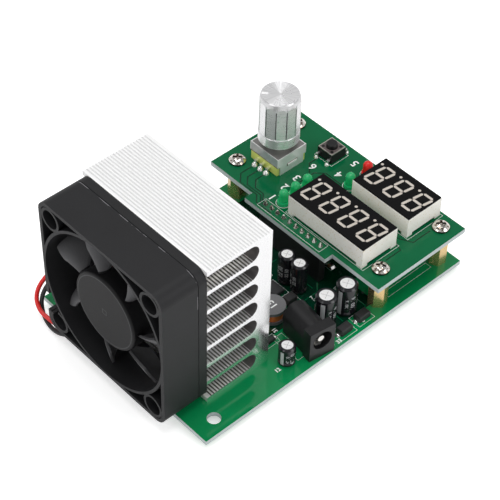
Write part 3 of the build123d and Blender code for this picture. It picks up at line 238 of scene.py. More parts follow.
def wire(name, route, diameter, finish, node):
    """A round wire along a smooth line with the route's points as its control points."""
    curve = bpy.data.curves.new(name, "CURVE")
    curve.dimensions = "3D"
    curve.bevel_depth = diameter / 2
    curve.bevel_resolution = 6
    curve.use_fill_caps = True
    line = curve.splines.new("NURBS")
    line.points.add(len(route) - 1)
    for point, place in zip(line.points, route):
        point.co = (*(Vector(place) * mm), 1)
    line.order_u = 3
    line.use_endpoint_u = True
    line.resolution_u = 8
    curve.materials.append(finish.material)
    piece = bpy.data.objects.new(name, curve)
    bpy.context.scene.collection.objects.link(piece)
    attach(piece, "base")
    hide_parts(node)
    return piece


lead_diameter = 1.3 * mm
underside = 3.0
plug_top = 9.4
red_route = [
    (-9.7, 21.5, underside), (-9.7, 21.5, 1.9), (-10.5, 23.8, 1.0), (-11.3, 26.8, 1.9),
    (-11.8, 30.5, 2.8), (-10.7, 33.6, 4.8), (-8.4, 34.9, 7.4), (-4.9, 34.6, 10.2),
    (-0.7, 33.9, 12.9), (4.1, 33.1, 15.2), (9.3, 32.1, 16.8), (13.1, 31.5, 16.9),
    (15.7, 31.25, 15.2), (16.6, 31.15, 12.4), (16.6, 31.15, plug_top),
]
black_route = [
    (-10.8, 18.9, underside), (-10.8, 18.9, 1.8), (-11.5, 21.2, 0.4), (-11.9, 24.3, -0.2),
    (-11.6, 27.8, 0.1), (-10.7, 30.9, 1.4), (-9.5, 32.7, 4.4), (-7.5, 33.0, 7.5),
    (-4.0, 32.3, 10.7), (0.1, 31.4, 13.4), (4.9, 30.5, 15.4), (9.5, 29.7, 16.6),
    (13.1, 29.1, 16.7), (15.7, 28.75, 15.1), (16.6, 28.65, 12.4), (16.6, 28.65, plug_top),
]
red_pvc = Finish("red_pvc", roughness=0.32)
red_pvc.mottle(1.5 * mm, (0.66, 0.008, 0.008), (0.80, 0.016, 0.012))
black_pvc = Finish("black_pvc", roughness=0.34)
black_pvc.mottle(1.5 * mm, (0.012, 0.012, 0.013), (0.02, 0.02, 0.022))
red_wire = wire("red_wire", red_route, lead_diameter, red_pvc, "fan_lead_red")
black_wire = wire("black_wire", black_route, lead_diameter, black_pvc, "fan_lead_black")


# Both boards are glass laminate under a glossy green mask, pale and matt where they were
# routed to size. The mask shows the laminate's weave a little; on the main board it is painted darker among
# the parts, as painted shade.
def dress(node, finish):
    """Gives a sub-part of the frame its finish."""
    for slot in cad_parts[node].material_slots:
        slot.material = finish.material


mask_green = (0.0008, 0.105, 0.036)
mask_green_light = (0.002, 0.140, 0.052)
open_green = (0.002, 0.210, 0.062)
open_green_light = (0.004, 0.280, 0.090)
# The darkest green is painted shade, laid among the main board's parts.
shade_painted_green = (0.0004, 0.032, 0.015)
laminate_pale = (0.54, 0.60, 0.60)
mask_cloud = 9 * mm
weave_size = 0.5 * mm
weave_depth = 0.01 * mm
mask_gloss = 0.05
routed_dullness = 0.6


def board_mask(name, shine, greens):
    """The glossy green mask, with the pale routed edge."""
    finish = Finish(name, roughness=0.09, Specular_IOR_Level=shine)
    side = abs(finish.facing("Z")) < 0.5
    finish.set("Base Color", finish.mix(side, greens(finish), laminate_pale))
    finish.set("Roughness", mask_gloss + finish.noise(4 * mm) * 0.05 + side * routed_dullness)
    weave = finish.noise(weave_size) * 0.6 + finish.noise(3 * mm)
    finish.bump(weave, weave_depth, 0.4)
    return finish


def upper_greens(finish):
    """The display board's mask, a little lighter in clouds."""
    return finish.mix(finish.noise(mask_cloud, detail=3), mask_green, mask_green_light)


def board_patch(finish, middle_x, middle_y, half_x, half_y):
    """A mask over a rectangle of the board, in the frame's millimetres."""
    within_x = abs(finish.axis("X") - middle_x * mm) < half_x * mm
    within_y = abs(finish.axis("Y") - middle_y * mm) < half_y * mm
    return within_x * within_y


def main_greens(finish):
    """The mask is painted darker among the parts, as painted shade of the display board and heat sink."""
    open_mask = finish.mix(finish.noise(mask_cloud, detail=3), open_green, open_green_light)
    shade_behind_socket = board_patch(finish, middle_x=46.0, middle_y=3.5, half_x=21.0, half_y=23.0)
    shade_beside_socket = board_patch(finish, middle_x=53.0, middle_y=-24.0, half_x=10.0, half_y=5.6)
    painted_shade_among_parts = finish.math("MAXIMUM", shade_behind_socket, shade_beside_socket)
    return finish.mix(painted_shade_among_parts, open_mask, shade_painted_green)


dress("main_board", board_mask("main_board_mask", shine=0.50, greens=main_greens))
dress("display_board", board_mask("display_board_mask", shine=0.24, greens=upper_greens))
dress("fan_circuit_board", Finish("motor_board_green", (0.01, 0.11, 0.05), roughness=0.25))


# Copper tracks run under the mask as low green ridges beside the dark gaps etched round
# them. White outlines are printed on top, as thin as paint.
main_low, main_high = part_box("main_board")
upper_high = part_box("display_board")[1]


def on_main(x, y, z=0.0):
    """A place in millimetres from the main board's near fan-end corner, on its top face."""
    return Vector((main_low.x + x * mm, main_low.y + y * mm, main_high.z + z * mm))


def on_upper(x, y, z=0.0):
    """The same on the display board, x and y still counted from the main board's corner."""
    return Vector((main_low.x + x * mm, main_low.y + y * mm, upper_high.z + z * mm))


def flat_lines(name, routes, width, rise, finish, face, closed=False):
    """Low rounded ridges along routes on a board's face, that wide and high in millimetres."""
    curve = bpy.data.curves.new(name, "CURVE")
    curve.dimensions = "3D"
    curve.bevel_depth = width * mm / 2
    curve.bevel_resolution = 1
    curve.use_fill_caps = True
    for route in routes:
        line = curve.splines.new("POLY")
        line.points.add(len(route) - 1)
        for point, (x, y) in zip(line.points, route):
            corner = face(x, y)
            point.co = (corner.x, corner.y, 0, 1)
        line.use_cyclic_u = closed
    curve.materials.append(finish.material)
    piece = bpy.data.objects.new(name, curve)
    piece.scale.z = rise / (width / 2)
    piece.location.z = face(0, 0).z
    bpy.context.scene.collection.objects.link(piece)
    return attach(piece, "base")


def ring(x, y, radius, sides=20):
    """A round outline as a route."""
    angles = [2 * pi * k / sides for k in range(sides)]
    return [(x + radius * cos(angle), y + radius * sin(angle)) for angle in angles]


def frame_line(x0, x1, y0, y1):
    """A rectangle's four corners as a route."""
    return [(x0, y0), (x1, y0), (x1, y1), (x0, y1)]


white_print = Finish("white_print", (0.95, 0.96, 0.95), roughness=0.55)
etched_gap = Finish("etched_gap", (0.0, 0.035, 0.014), roughness=0.12, Specular_IOR_Level=0.34)
track_green = Finish("track_green", (0.002, 0.115, 0.045), roughness=0.1, Specular_IOR_Level=0.5)
print_rise = 0.02
main_print_width = 0.14
upper_print_width = 0.16
track_width = 0.42
track_rise = 0.012


def solids(node):
    """The lowest and highest corner of each separate solid of a sub-part."""
    shape = bmesh.new()
    shape.from_mesh(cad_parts[node].data)
    bmesh.ops.remove_doubles(shape, verts=shape.verts, dist=0.001 * mm)
    waiting = set(shape.verts)
    boxes = []
    while waiting:
        reached = [waiting.pop()]
        corners = []
        while reached:
            vertex = reached.pop()
            corners.append(vertex.co.copy())
            for edge in vertex.link_edges:
                other = edge.other_vert(vertex)
                if other in waiting:
                    waiting.remove(other)
                    reached.append(other)
        boxes.append((Vector(map(min, zip(*corners))), Vector(map(max, zip(*corners)))))
    shape.free()
    return sorted(boxes, key=lambda box: (round(box[0].x, 6), round(box[0].y, 6)))


def outline_round(box, margin):
    """A rectangle that far outside a solid, in millimetres from the main board's corner."""
    low, high = ((corner - main_low) / mm for corner in box)
    return frame_line(low.x - margin, high.x + margin, low.y - margin, high.y + margin)


main_outlines = [frame_line(74.0, 92.0, 4.0, 6.2), frame_line(37.9, 41.4, 4.2, 14.6)]
main_outlines += [outline_round(box, margin=0.9) for box in solids("chips")]
main_outlines += [outline_round(box, margin=0.45) for box in solids("small_parts")]
flat_lines("main_outlines", main_outlines, main_print_width, print_rise, white_print, on_main,
           closed=True)
main_tracks = [
    [(28.0, 14.0), (31.0, 17.0), (31.0, 24.0), (36.0, 29.0), (42.0, 29.0)],
    [(29.6, 13.0), (32.6, 16.0), (37.6, 16.0)],
    [(30.0, 38.0), (36.0, 38.0), (40.0, 42.0), (47.0, 42.0), (51.0, 46.0)],
    [(30.0, 39.4), (35.4, 39.4), (39.4, 43.4), (46.4, 43.4)],
    [(43.0, 33.5), (48.0, 33.5), (51.0, 36.5), (60.0, 36.5)],
    [(47.6, 15.5), (47.6, 20.0), (45.2, 22.4), (45.2, 24.6)],
    [(48.9, 15.0), (48.9, 20.6), (51.4, 23.1), (51.4, 25.0)],
    [(50.2, 14.2), (50.2, 18.2), (52.6, 20.6), (55.0, 20.6)],
    [(51.4, 13.6), (51.4, 17.0), (53.6, 19.2), (60.0, 19.2), (62.6, 21.8)],
    [(57.6, 6.2), (57.6, 13.4), (59.8, 15.6), (64.0, 15.6)],
    [(60.0, 21.0), (60.0, 27.0), (62.4, 29.4)],
    [(64.6, 4.2), (66.6, 6.2), (66.6, 13.0)],
    [(73.4, 8.0), (80.0, 8.0), (84.0, 12.0), (91.0, 12.0)],
]
flat_lines("main_tracks", main_tracks, track_width, track_rise, track_green, on_main)
upper_outlines = [
    frame_line(62.1, 65.7, 21.5, 47.4),
    frame_line(66.2, 80.9, 8.0, 39.6),
    frame_line(84.6, 99.4, 8.0, 32.0),
    frame_line(89.9, 97.1, 44.6, 51.9),
]
lamp_places = [(68.3, 42.8), (73.1, 42.8), (78.0, 42.8), (88.0, 34.9), (95.4, 34.9)]
upper_outlines += [ring(x, y, radius=2.2) for x, y in lamp_places]
flat_lines("upper_outlines", upper_outlines, upper_print_width, print_rise, white_print, on_upper,
           closed=True)
upper_tracks = [
    [(72.0, 55.4), (69.0, 55.4), (66.5, 52.9), (66.5, 49.5), (64.6, 47.6), (64.1, 46.6)],
    [(72.0, 57.9), (68.0, 57.9), (65.6, 55.5), (65.6, 49.6), (63.4, 47.4), (63.4, 45.0)],
    [(72.0, 60.4), (67.5, 60.4), (64.8, 57.7), (64.8, 50.5), (62.6, 48.3), (62.6, 42.0)],
    [(76.0, 46.0), (84.0, 46.0), (86.5, 43.5), (86.5, 37.0)],
    [(90.0, 50.0), (86.0, 50.0), (83.0, 47.0)],
    [(82.0, 30.0), (82.0, 12.0), (80.0, 6.5), (74.0, 6.5)],
    [(83.0, 34.0), (83.0, 10.0), (85.0, 6.2), (92.0, 6.2)],
]
flat_lines("upper_gaps", upper_tracks, track_width, track_rise, etched_gap, on_upper)


# Plain numbers are printed in the same white paint, large beside each lamp and the button,
# and small beside parts of the main board.
ink_depth = 0.01 * mm
ink_swell = 0.05 * mm
ink_lift = 0.02


def printed_number(text, x, y, face, size, turn=90):
    """A number printed on a face, size in millimetres and its turn in degrees."""
    words = bpy.data.curves.new("number", "FONT")
    words.body = text
    words.size = size * mm
    words.align_x = "CENTER"
    words.extrude = ink_depth
    words.offset = ink_swell
    words.materials.append(white_print.material)
    piece = bpy.data.objects.new("number_" + text, words)
    piece.location = face(x, y, ink_lift)
    piece.rotation_euler.z = radians(turn)
    bpy.context.scene.collection.objects.link(piece)
    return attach(piece, "base")


lamp_numbers = (
    ("1", 68.8, 46.7), ("2", 74.4, 47.4), ("3", 79.8, 47.9),
    ("4", 90.2, 40.6), ("5", 97.2, 40.8), ("6", 86.8, 48.2),
)
part_numbers = (
    ("12", 31.2, 4.8, 0), ("14", 51.4, 17.4, 0), ("15", 62.6, 8.6, 90), ("21", 44.4, 29.8, 0),
    ("22", 47.4, 35.2, 0), ("7", 57.2, 18.0, 0), ("8", 62.0, 2.0, 0), ("9", 49.2, 0.8, 0),
    ("31", 41.2, 16.6, 90), ("33", 51.4, 1.0, 0), ("35", 43.6, 36.4, 0), ("10", 64.4, 24.0, 90),
)
for text, x, y in lamp_numbers:
    printed_number(text, x, y, on_upper, size=3.7)
for text, x, y, turn in part_numbers:
    printed_number(text, x, y, on_main, size=1.7, turn=turn)


# The heat sink is sawn from a drawn aluminium comb section and left bare. Drawing leaves
# fine lines along it, and the saw leaves the cut ends bright, with faint upright scratches.
sink = Finish("bare_aluminium", roughness=0.3, metallic=0.6)
sink_low, sink_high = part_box("heat_sink")
sink_middle = (sink_low + sink_high) / 2
half_width = (sink_high.x - sink_low.x) / 2
above_slots = 1.2 * mm
face_skin = 0.1 * mm
along = sink.noise(0.35 * mm, detail=3, stretch=(1, 60, 1))
scratches = sink.noise(0.25 * mm, detail=3, stretch=(1, 1, 22))
sawn = abs(sink.facing("Y")) > 0.7
grain = along * (1 - sawn) + scratches * sawn
below_top = sink.axis("Z") < sink_high.z - above_slots
behind_face = sink.axis("X") < sink_high.x - face_skin
in_slot = (1 - sawn) * below_top * behind_face

# The flanks of the top's grooves that turn from the fan are painted dark, as painted shade. In
# the slots both flanks are, and past the last cut groove their pitch goes on as painted dark lines of
# shade.
between_faces = abs(sink.axis("X") - sink_middle.x) < half_width - face_skin
flank = (abs(sink.facing("X")) > 0.30) * (1 - sawn) * between_faces
lee = flank * (sink.facing("X") > 0)
drawn_bright = sink.mix(along, (0.95, 0.95, 0.95), (1.0, 1.0, 1.0))
top_tone_with_shade = sink.mix(lee, drawn_bright, (0.42, 0.42, 0.43))
groove_pitch = 1.0 * mm
last_groove = 15.88 * mm
line_half_share = 0.22
beyond = sink.axis("X") - last_groove
groove_phase = sink.math("FRACT", beyond / groove_pitch + 0.5)
painted_groove_shade = (abs(groove_phase - 0.5) < line_half_share) * (beyond > groove_pitch / 2)
slot_bright = sink.mix(along, (0.93, 0.92, 0.91), (1.0, 1.0, 1.0))
slot_tone = sink.mix(sink.math("MAXIMUM", flank, painted_groove_shade), slot_bright, (0.17, 0.16, 0.16))
outer_tone = sink.mix(sawn, top_tone_with_shade, (0.96, 0.96, 0.97))
sink.set("Base Color", sink.mix(in_slot, outer_tone, slot_tone))
sink.set("Metallic", 0.16 + sawn * 0.79 + in_slot * 0.39)
sink.set("Roughness", 0.32 + grain * 0.14 - sawn * 0.20)
sink.bump(grain, 0.02 * mm, 0.3)
dress("heat_sink", sink)


# Cross-head screws of nickel-plated steel hold the heat sink, pillars, fan and transistor. A
# head that faces up is painted with blotches of reflection, and painted dark as shade on its recess's steep
# sides.
nickel = Finish("nickel_plate", roughness=0.14, metallic=1.0)
steep = abs(nickel.facing("Z")) < 0.5
reflection_blotch = nickel.noise(0.7 * mm, detail=1) > 0.56
plated = nickel.mix(reflection_blotch, (0.90, 0.87, 0.82), (0.36, 0.29, 0.23))
nickel.set("Base Color", nickel.mix(steep, plated, (0.13, 0.095, 0.07)))
nickel.polish(0.8 * mm, 0.06, 0.08)
for node in ("heat_sink_screws", "lower_pillar_screws", "upper_pillar_screws"):
    dress(node, nickel)
lying_nickel = Finish("nickel_plate_lying", (0.80, 0.77, 0.72), roughness=0.2, metallic=1.0)
lying_nickel.polish(0.8 * mm, 0.12, 0.12)
for node in ("fan_screws", "transistor_screw"):
    dress(node, lying_nickel)


# The power transistor is a flat black epoxy package pressed on a grey silicone pad, its
# three tinned legs soldered to the board.
epoxy = Finish("black_epoxy", roughness=0.5)
epoxy.mottle(0.3 * mm, (0.010, 0.010, 0.011), (0.022, 0.022, 0.023))
epoxy.bump(epoxy.noise(0.12 * mm), 0.01 * mm, 0.5)
tin = Finish("tinned_metal", (0.90, 0.90, 0.88), roughness=0.2, metallic=0.85)
tin.polish(0.5 * mm, 0.14, 0.16)
package = Finish("package_and_legs", roughness=0.45)
package_foot = 13.9 * mm
is_leg = package.axis("Z") < package_foot
package.set("Base Color", package.mix(is_leg, (0.014, 0.014, 0.015), (0.72, 0.72, 0.70)))
package.set("Metallic", is_leg)
dress("power_transistor", package)
dress("transistor_pad", Finish("grey_silicone", (0.32, 0.33, 0.34), roughness=0.7))


# The fan is moulded in matt black plastic, finely eroded outside, a little smoother on the
# hub and blades. The hub's face has a shallow rim and the small square left by its gate.
fan_plastic = Finish("fan_plastic", roughness=0.5, Specular_IOR_Level=0.30)
speckle = fan_plastic.noise(0.22 * mm, detail=4)
cloud = fan_plastic.noise(6 * mm)
flange_thickness = 3.0 * mm
edge_inset = 0.13 * mm
edge_half = 0.09 * mm
edge_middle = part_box("fan_frame")[1].x - flange_thickness - edge_inset
seam_edge = abs(fan_plastic.axis("X") - edge_middle) < edge_half
# Light specks along the flange's edge are painted glints, with some rubbed wear.
edge_wear_and_glints = (fan_plastic.noise(0.9 * mm, detail=3, stretch=(1, 5, 5)) > 0.57) * seam_edge
moulded = fan_plastic.mix(speckle * 0.6 + cloud * 0.4, (0.007, 0.007, 0.008), (0.017, 0.017, 0.019))
fan_plastic.set("Base Color", fan_plastic.mix(edge_wear_and_glints, moulded, (0.19, 0.19, 0.20)))
fan_plastic.set("Roughness", 0.44 + speckle * 0.14)
fan_plastic.bump(speckle, 0.025 * mm, 0.6)
dress("fan_frame", fan_plastic)

shaft_low, shaft_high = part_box("fan_shaft")
shaft_line = (shaft_low + shaft_high) / 2
magnet_low, magnet_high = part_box("fan_magnet")
hub_radius = (magnet_high.y - magnet_low.y) / 2
front_depth = 0.3 * mm
blade_root = 1.6 * mm
rim_half = 0.14 * mm
gate_outer = 0.90 * mm
gate_inner = 0.65 * mm
rotor_plastic = Finish("rotor_plastic", roughness=0.42, Specular_IOR_Level=0.15)
erosion = rotor_plastic.noise(0.16 * mm, detail=4)
sideways = rotor_plastic.axis("Y") - shaft_line.y
above = rotor_plastic.axis("Z") - shaft_line.z
from_shaft = rotor_plastic.math("SQRT", sideways * sideways + above * above)
front_face = rotor_plastic.axis("X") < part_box("fan_rotor")[0].x + front_depth
rim_line = (abs(from_shaft - hub_radius) < rim_half) * front_face
gate = (abs(sideways) < gate_outer) * (abs(above) < gate_outer)
gate_middle = (abs(sideways) < gate_inner) * (abs(above) < gate_inner)
moulded_line = rim_line + (gate - gate_middle) * front_face
# The blades are painted lighter than the hub, as painted light where they are lit.
blade_painted_lighter = rotor_plastic.mix(erosion, (0.082, 0.082, 0.086), (0.115, 0.115, 0.120))
hub_black = rotor_plastic.mix(erosion, (0.005, 0.005, 0.0055), (0.013, 0.013, 0.014))
on_hub = rotor_plastic.math("MAXIMUM", front_face, from_shaft < hub_radius + blade_root)
rotor_tone = rotor_plastic.mix(on_hub, blade_painted_lighter, hub_black)
line_tone = (0.055, 0.055, 0.058)
rotor_plastic.set("Base Color", rotor_plastic.mix(moulded_line, rotor_tone, line_tone))
rotor_plastic.set("Roughness", 0.38 + erosion * 0.14)
rotor_plastic.bump(erosion * 0.25 + moulded_line * 0.7, 0.12 * mm, 0.5)
dress("fan_rotor", rotor_plastic)
dress("fan_magnet", Finish("bonded_ferrite", (0.03, 0.028, 0.026), roughness=0.7))
steel = Finish("ground_steel", (0.62, 0.62, 0.63), roughness=0.3, metallic=1.0)
dress("fan_shaft", steel)
dress("fan_bearing", Finish("sintered_bronze", (0.36, 0.20, 0.08), roughness=0.5, metallic=0.9))
dress("fan_stator", Finish("laminated_core", (0.12, 0.06, 0.03), roughness=0.5, metallic=0.4))


# The fan's plug and its shrouded header are cream nylon, with square tinned pins. The header
# is soldered beside the heat sink, and the plug pushes down into it.
nylon = Finish("cream_nylon", (0.74, 0.71, 0.62), roughness=0.42)
for node in ("fan_plug", "fan_socket"):
    dress(node, nylon)
for node in ("fan_socket_pins", "display_pins", "encoder_pins", "switch_legs", "chip_legs"):
    dress(node, tin)


# Electrolytic capacitors: an aluminium can in a shrunk black sleeve, its vented top bare and
# scored with a cross. A grey stripe down one side marks the negative leg, plain numbers the rest.
sleeve = Finish("black_sleeve", roughness=0.16)
sleeve.mottle(0.5 * mm, (0.005, 0.005, 0.007), (0.012, 0.012, 0.016))
dress("capacitor_sleeves", sleeve)
vent = Finish("vent_aluminium", (0.95, 0.95, 0.95), roughness=0.32, metallic=0.35)
vent.polish(0.5 * mm, 0.26, 0.16)
dress("capacitor_tops", vent)
sleeve_print = Finish("sleeve_print", roughness=0.3)
sleeve_print.mottle(0.4 * mm, (0.38, 0.39, 0.40), (0.58, 0.59, 0.60))
score_line = Finish("score_line", (0.35, 0.35, 0.35), roughness=0.5, metallic=0.5)
stripe_rise = 0.015 * mm
number_rise = 0.02 * mm
number_swell = 0.02 * mm


def sleeve_patch(middle, radius, low, high, start, stop, steps=8):
    """A thin printed patch that follows a round sleeve between two angles in degrees."""
    reach = radius + stripe_rise
    corners = []
    for k in range(steps + 1):
        angle = radians(start + (stop - start) * k / steps)
        x = middle.x + reach * cos(angle)
        y = middle.y + reach * sin(angle)
        corners += [(x, y, low), (x, y, high)]
    return corners, [(2 * k, 2 * k + 2, 2 * k + 3, 2 * k + 1) for k in range(steps)]


def wrapped_number(text, middle, radius, height, size, turn):
    """The points and faces of a number that reads up a round sleeve, at an angle in degrees."""
    words = bpy.data.curves.new("sleeve_number", "FONT")
    words.body = text
    words.size = size
    words.offset = number_swell
    words.align_x = "CENTER"
    holder = bpy.data.objects.new("sleeve_number", words)
    flat = bpy.data.meshes.new_from_object(holder)
    reach = radius + number_rise
    corners = []
    for vertex in flat.vertices:
        angle = radians(turn) - vertex.co.y / radius
        corners.append((middle.x + reach * cos(angle), middle.y + reach * sin(angle), height + vertex.co.x))
    faces = [tuple(face.vertices) for face in flat.polygons]
    bpy.data.objects.remove(holder)
    bpy.data.meshes.remove(flat)
    return corners, faces


def skin(name, patches, finish):
    """One piece made of several lots of points and faces."""
    mesh = bpy.data.meshes.new(name)
    points = []
    faces = []
    for corners, sides in patches:
        faces += [tuple(k + len(points) for k in side) for side in sides]
        points += corners
    mesh.from_pydata(points, [], faces)
    mesh.materials.append(finish.material)
    piece = bpy.data.objects.new(name, mesh)
    bpy.context.scene.collection.objects.link(piece)
    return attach(piece, "base")


stripes = []
numbers = []
scores = []
sleeve_turns = (-75, -60, 205, 170, -80)
sleeve_texts = ("47 10", "100 16", "22 50", "22 50", "100 16")
# each column's turn in degrees from the sleeve's own, and its size in millimetres
text_columns = ((-6, 1.9), (34, 1.5), (-44, 1.3))
stripe_start = 104
stripe_stop = 80
below_stripe = 0.9 * mm
above_stripe = 1.1 * mm
text_drop = 0.2 * mm
for (low, high), turn, text in zip(solids("capacitor_sleeves"), sleeve_turns, sleeve_texts):
    middle = (low + high) / 2
    radius = (high.x - low.x) / 2
    stripes.append(sleeve_patch(middle, radius, low.z + below_stripe, high.z - above_stripe,
                                turn - stripe_start, turn - stripe_stop))
    for column, size in text_columns:
        numbers.append(wrapped_number(text, middle, radius, middle.z - text_drop, size * mm,
                                      turn + column))
score_half = 0.05 * mm
score_reach = 0.36
score_turn = 28
score_rise = 0.010 * mm
score_lap = 0.004 * mm
for low, high in solids("capacitor_tops"):
    middle = (low + high) / 2
    reach = (high.x - low.x) * score_reach
    bar = [Vector((x, y, 0)) for x, y in frame_line(-reach, reach, -score_half, score_half)]
    for k in (0, 1):
        turned = Matrix.Rotation(radians(score_turn + 90 * k), 3, "Z")
        top = Vector((middle.x, middle.y, high.z + score_rise + score_lap * k))
        scores.append(([tuple(top + turned @ corner) for corner in bar], [(0, 1, 2, 3)]))
skin("sleeve_stripes", stripes, sleeve_print)
skin("sleeve_numbers", numbers, sleeve_print)
skin("vent_scores", scores, score_line)


# The inductor is a grey ferrite drum wound with enamelled copper, between the heat sink and the
# supply socket. A plain number is printed on the drum's top.
ferrite = Finish("grey_ferrite", roughness=0.5)
ferrite.mottle(0.3 * mm, (0.10, 0.10, 0.105), (0.19, 0.19, 0.195))
dress("inductor_core", ferrite)
copper = Finish("enamelled_copper", (0.92, 0.24, 0.06), roughness=0.22, metallic=0.45)
dress("inductor_winding", copper)
core_low, core_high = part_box("inductor_core")
core_middle = (core_low + core_high) / 2


def on_core(x, y, z=0.0):
    """A place in millimetres from the middle of the drum's top."""
    return Vector((core_middle.x + x * mm, core_middle.y + y * mm, core_high.z + z * mm))


printed_number("15", 1.0, 0.0, on_core, size=3.2)


# Chips and diodes are black epoxy, chip resistors and capacitors fired ceramic with wrapped
# tin ends. The paste solder is drawn up each end in a bright fillet.
dress("chips", epoxy)
ceramic = Finish("fired_ceramic", roughness=0.4)
is_brown = ceramic.noise(6 * mm) > 0.5
ceramic.set("Base Color", ceramic.mix(is_brown, (0.012, 0.012, 0.013), (0.30, 0.16, 0.08)))
dress("small_parts", ceramic)
solder = Finish("hand_solder", roughness=0.16, metallic=0.95)
# Dark patches on the solder are painted reflections of dark surroundings.
dark_reflection_patch = solder.noise(0.55 * mm, detail=1) > 0.5
solder.set("Base Color", solder.mix(dark_reflection_patch, (0.92, 0.91, 0.88), (0.30, 0.25, 0.22)))
dress("solder_joints", solder)


def end_cap(low, high, slope):
    """A block whose outer foot is drawn out on the board by slope, as the solder of a tin end."""
    corners = []
    for z, spread in ((low.z, 1.0), (high.z, 0.0)):
        for x, y in ((low.x, low.y), (high.x, low.y), (high.x, high.y), (low.x, high.y)):
            outer_x = slope.x and (x > (low.x + high.x) / 2) == (slope.x > 0)
            outer_y = slope.y and (y > (low.y + high.y) / 2) == (slope.y > 0)
            corners.append((x + slope.x * spread * outer_x, y + slope.y * spread * outer_y, z))
    return corners, [(0, 3, 2, 1), (4, 5, 6, 7), (0, 1, 5, 4), (1, 2, 6, 5), (2, 3, 7, 6), (3, 0, 4, 7)]


end_width = 0.5 * mm
fillet = 0.45 * mm
proud = 0.03 * mm
ends = []
for low, high in solids("small_parts"):
    extent = high - low
    lengthwise = Vector((1, 0, 0)) if extent.x > extent.y else Vector((0, 1, 0))
    crosswise = Vector((proud, proud, 0)) - lengthwise * proud
    top = Vector((0, 0, proud))
    end_size = lengthwise * end_width
    end_size += Vector((extent.x * (1 - lengthwise.x), extent.y * (1 - lengthwise.y), extent.z))
    ends.append(end_cap(low - crosswise, low + end_size + crosswise + top, -lengthwise * fillet))
    ends.append(end_cap(high - end_size - crosswise, high + crosswise + top, lengthwise * fillet))
skin("tin_ends", ends, tin)


# The supply socket is moulded in dark grey plastic with a square mouth and a round barrel,
# and a nickel pin and spring inside.
socket_plastic = Finish("socket_plastic", roughness=0.36, Specular_IOR_Level=0.32)
socket_plastic.mottle(1.0 * mm, (0.006, 0.006, 0.007), (0.012, 0.012, 0.013))
socket_plastic.bump(socket_plastic.noise(0.15 * mm), 0.01 * mm, 0.4)
dress("jack_body", socket_plastic)
contact_metal = Finish("contact_metal", (0.90, 0.88, 0.84), roughness=0.2, metallic=0.9)
contact_metal.polish(0.6 * mm, 0.14, 0.16)
for node in ("jack_pin", "jack_spring"):
    dress(node, contact_metal)


# The load terminals at the far edge: a green moulded block with nickel cages and screws. Each
# screw draws its cage up against the wire.
terminal_green = Finish("terminal_green", (0.02, 0.22, 0.07), roughness=0.35)
dress("terminal_block", terminal_green)
for node in ("terminal_screw_near", "terminal_screw_far", "terminal_cage_near", "terminal_cage_far"):
    dress(node, lying_nickel)


# Four hexagonal brass spacers carry the display board. They are turned from bar, and a screw
# enters each from above and from below.
brass = Finish("turned_brass", (0.84, 0.61, 0.30), roughness=0.24, metallic=0.88)
brass.polish(0.4 * mm, 0.14, 0.16, stretch=(1, 1, 0.3))
dress("board_pillars", brass)


# A black pin strip and socket join the two boards. The pins' cut ends stand out of the
# display board in hand solder, painted in patches with dark reflections.
strip_plastic = Finish("strip_plastic", (0.014, 0.014, 0.015), roughness=0.45)
for node in ("connector_socket", "connector_strip"):
    dress(node, strip_plastic)
dress("connector_pins", solder)


# The digit displays are pale moulded cases with a black printed face. The bars and dots are
# milky resin, unlit.
case_plastic = Finish("pale_case", roughness=0.45)
moulded_tone = case_plastic.mix(case_plastic.noise(2 * mm), (0.95, 0.92, 0.85), (0.99, 0.97, 0.92))
flecks = case_plastic.noise(0.55 * mm, detail=1) > 0.66
case_plastic.set("Base Color", case_plastic.mix(flecks, moulded_tone, (0.84, 0.76, 0.60)))
case_plastic.bump(case_plastic.noise(0.2 * mm), 0.01 * mm, 0.4)
for node in ("four_digit_case", "three_digit_case"):
    dress(node, case_plastic)
face_black = Finish("printed_face", (0.004, 0.004, 0.0045), roughness=0.5, Specular_IOR_Level=0.09)
for node in ("four_digit_face", "three_digit_face"):
    dress(node, face_black)
dress("digit_segments", Finish("milky_resin", (0.60, 0.55, 0.49), roughness=0.35))


# The indicator lamps are tinted clear resin, domed, with a small flange, four green and one
# red. They stand soldered in the display board beside the displays.
green_resin = Finish("green_resin", roughness=0.05, Transmission_Weight=0.45)
lamp_low, lamp_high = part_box("green_lamps")
# The resin is painted brighter towards its flange, as painted glow of light gathered in it.
glow_fade_up = (green_resin.axis("Z") - lamp_low.z) / (lamp_high.z - lamp_low.z)
green_resin.set("Base Color", green_resin.mix(glow_fade_up, (0.03, 0.96, 0.36), (0.02, 0.68, 0.23)))
dress("green_lamps", green_resin)
red_resin = Finish("red_resin", (1.0, 0.015, 0.012), roughness=0.05, Transmission_Weight=0.3)
dress("red_lamp", red_resin)


# The rotary encoder: a pressed steel cover over a lime green base, with a steel shaft. Its
# five pins are bent out flat and soldered, and a tab is lanced out of the cover's near side.
# The switch's legs and the chips' wide tabs get their solder here too, in one piece with it.
dress("encoder_base", Finish("lime_base", (0.74, 0.80, 0.20), roughness=0.4))
pressed_steel = Finish("pressed_steel", roughness=0.3, metallic=0.5)
shell_low, shell_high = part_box("encoder_shell")
shell_middle = (shell_low + shell_high) / 2
cover_fan_side = pressed_steel.facing("X") < -0.7
base_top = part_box("encoder_base")[1].z
foot_middle = base_top + 0.12 * mm
foot_half = 0.14 * mm
cover_foot = (abs(pressed_steel.axis("Z") - foot_middle) < foot_half) * cover_fan_side
cover_top = pressed_steel.facing("Z") > 0.8
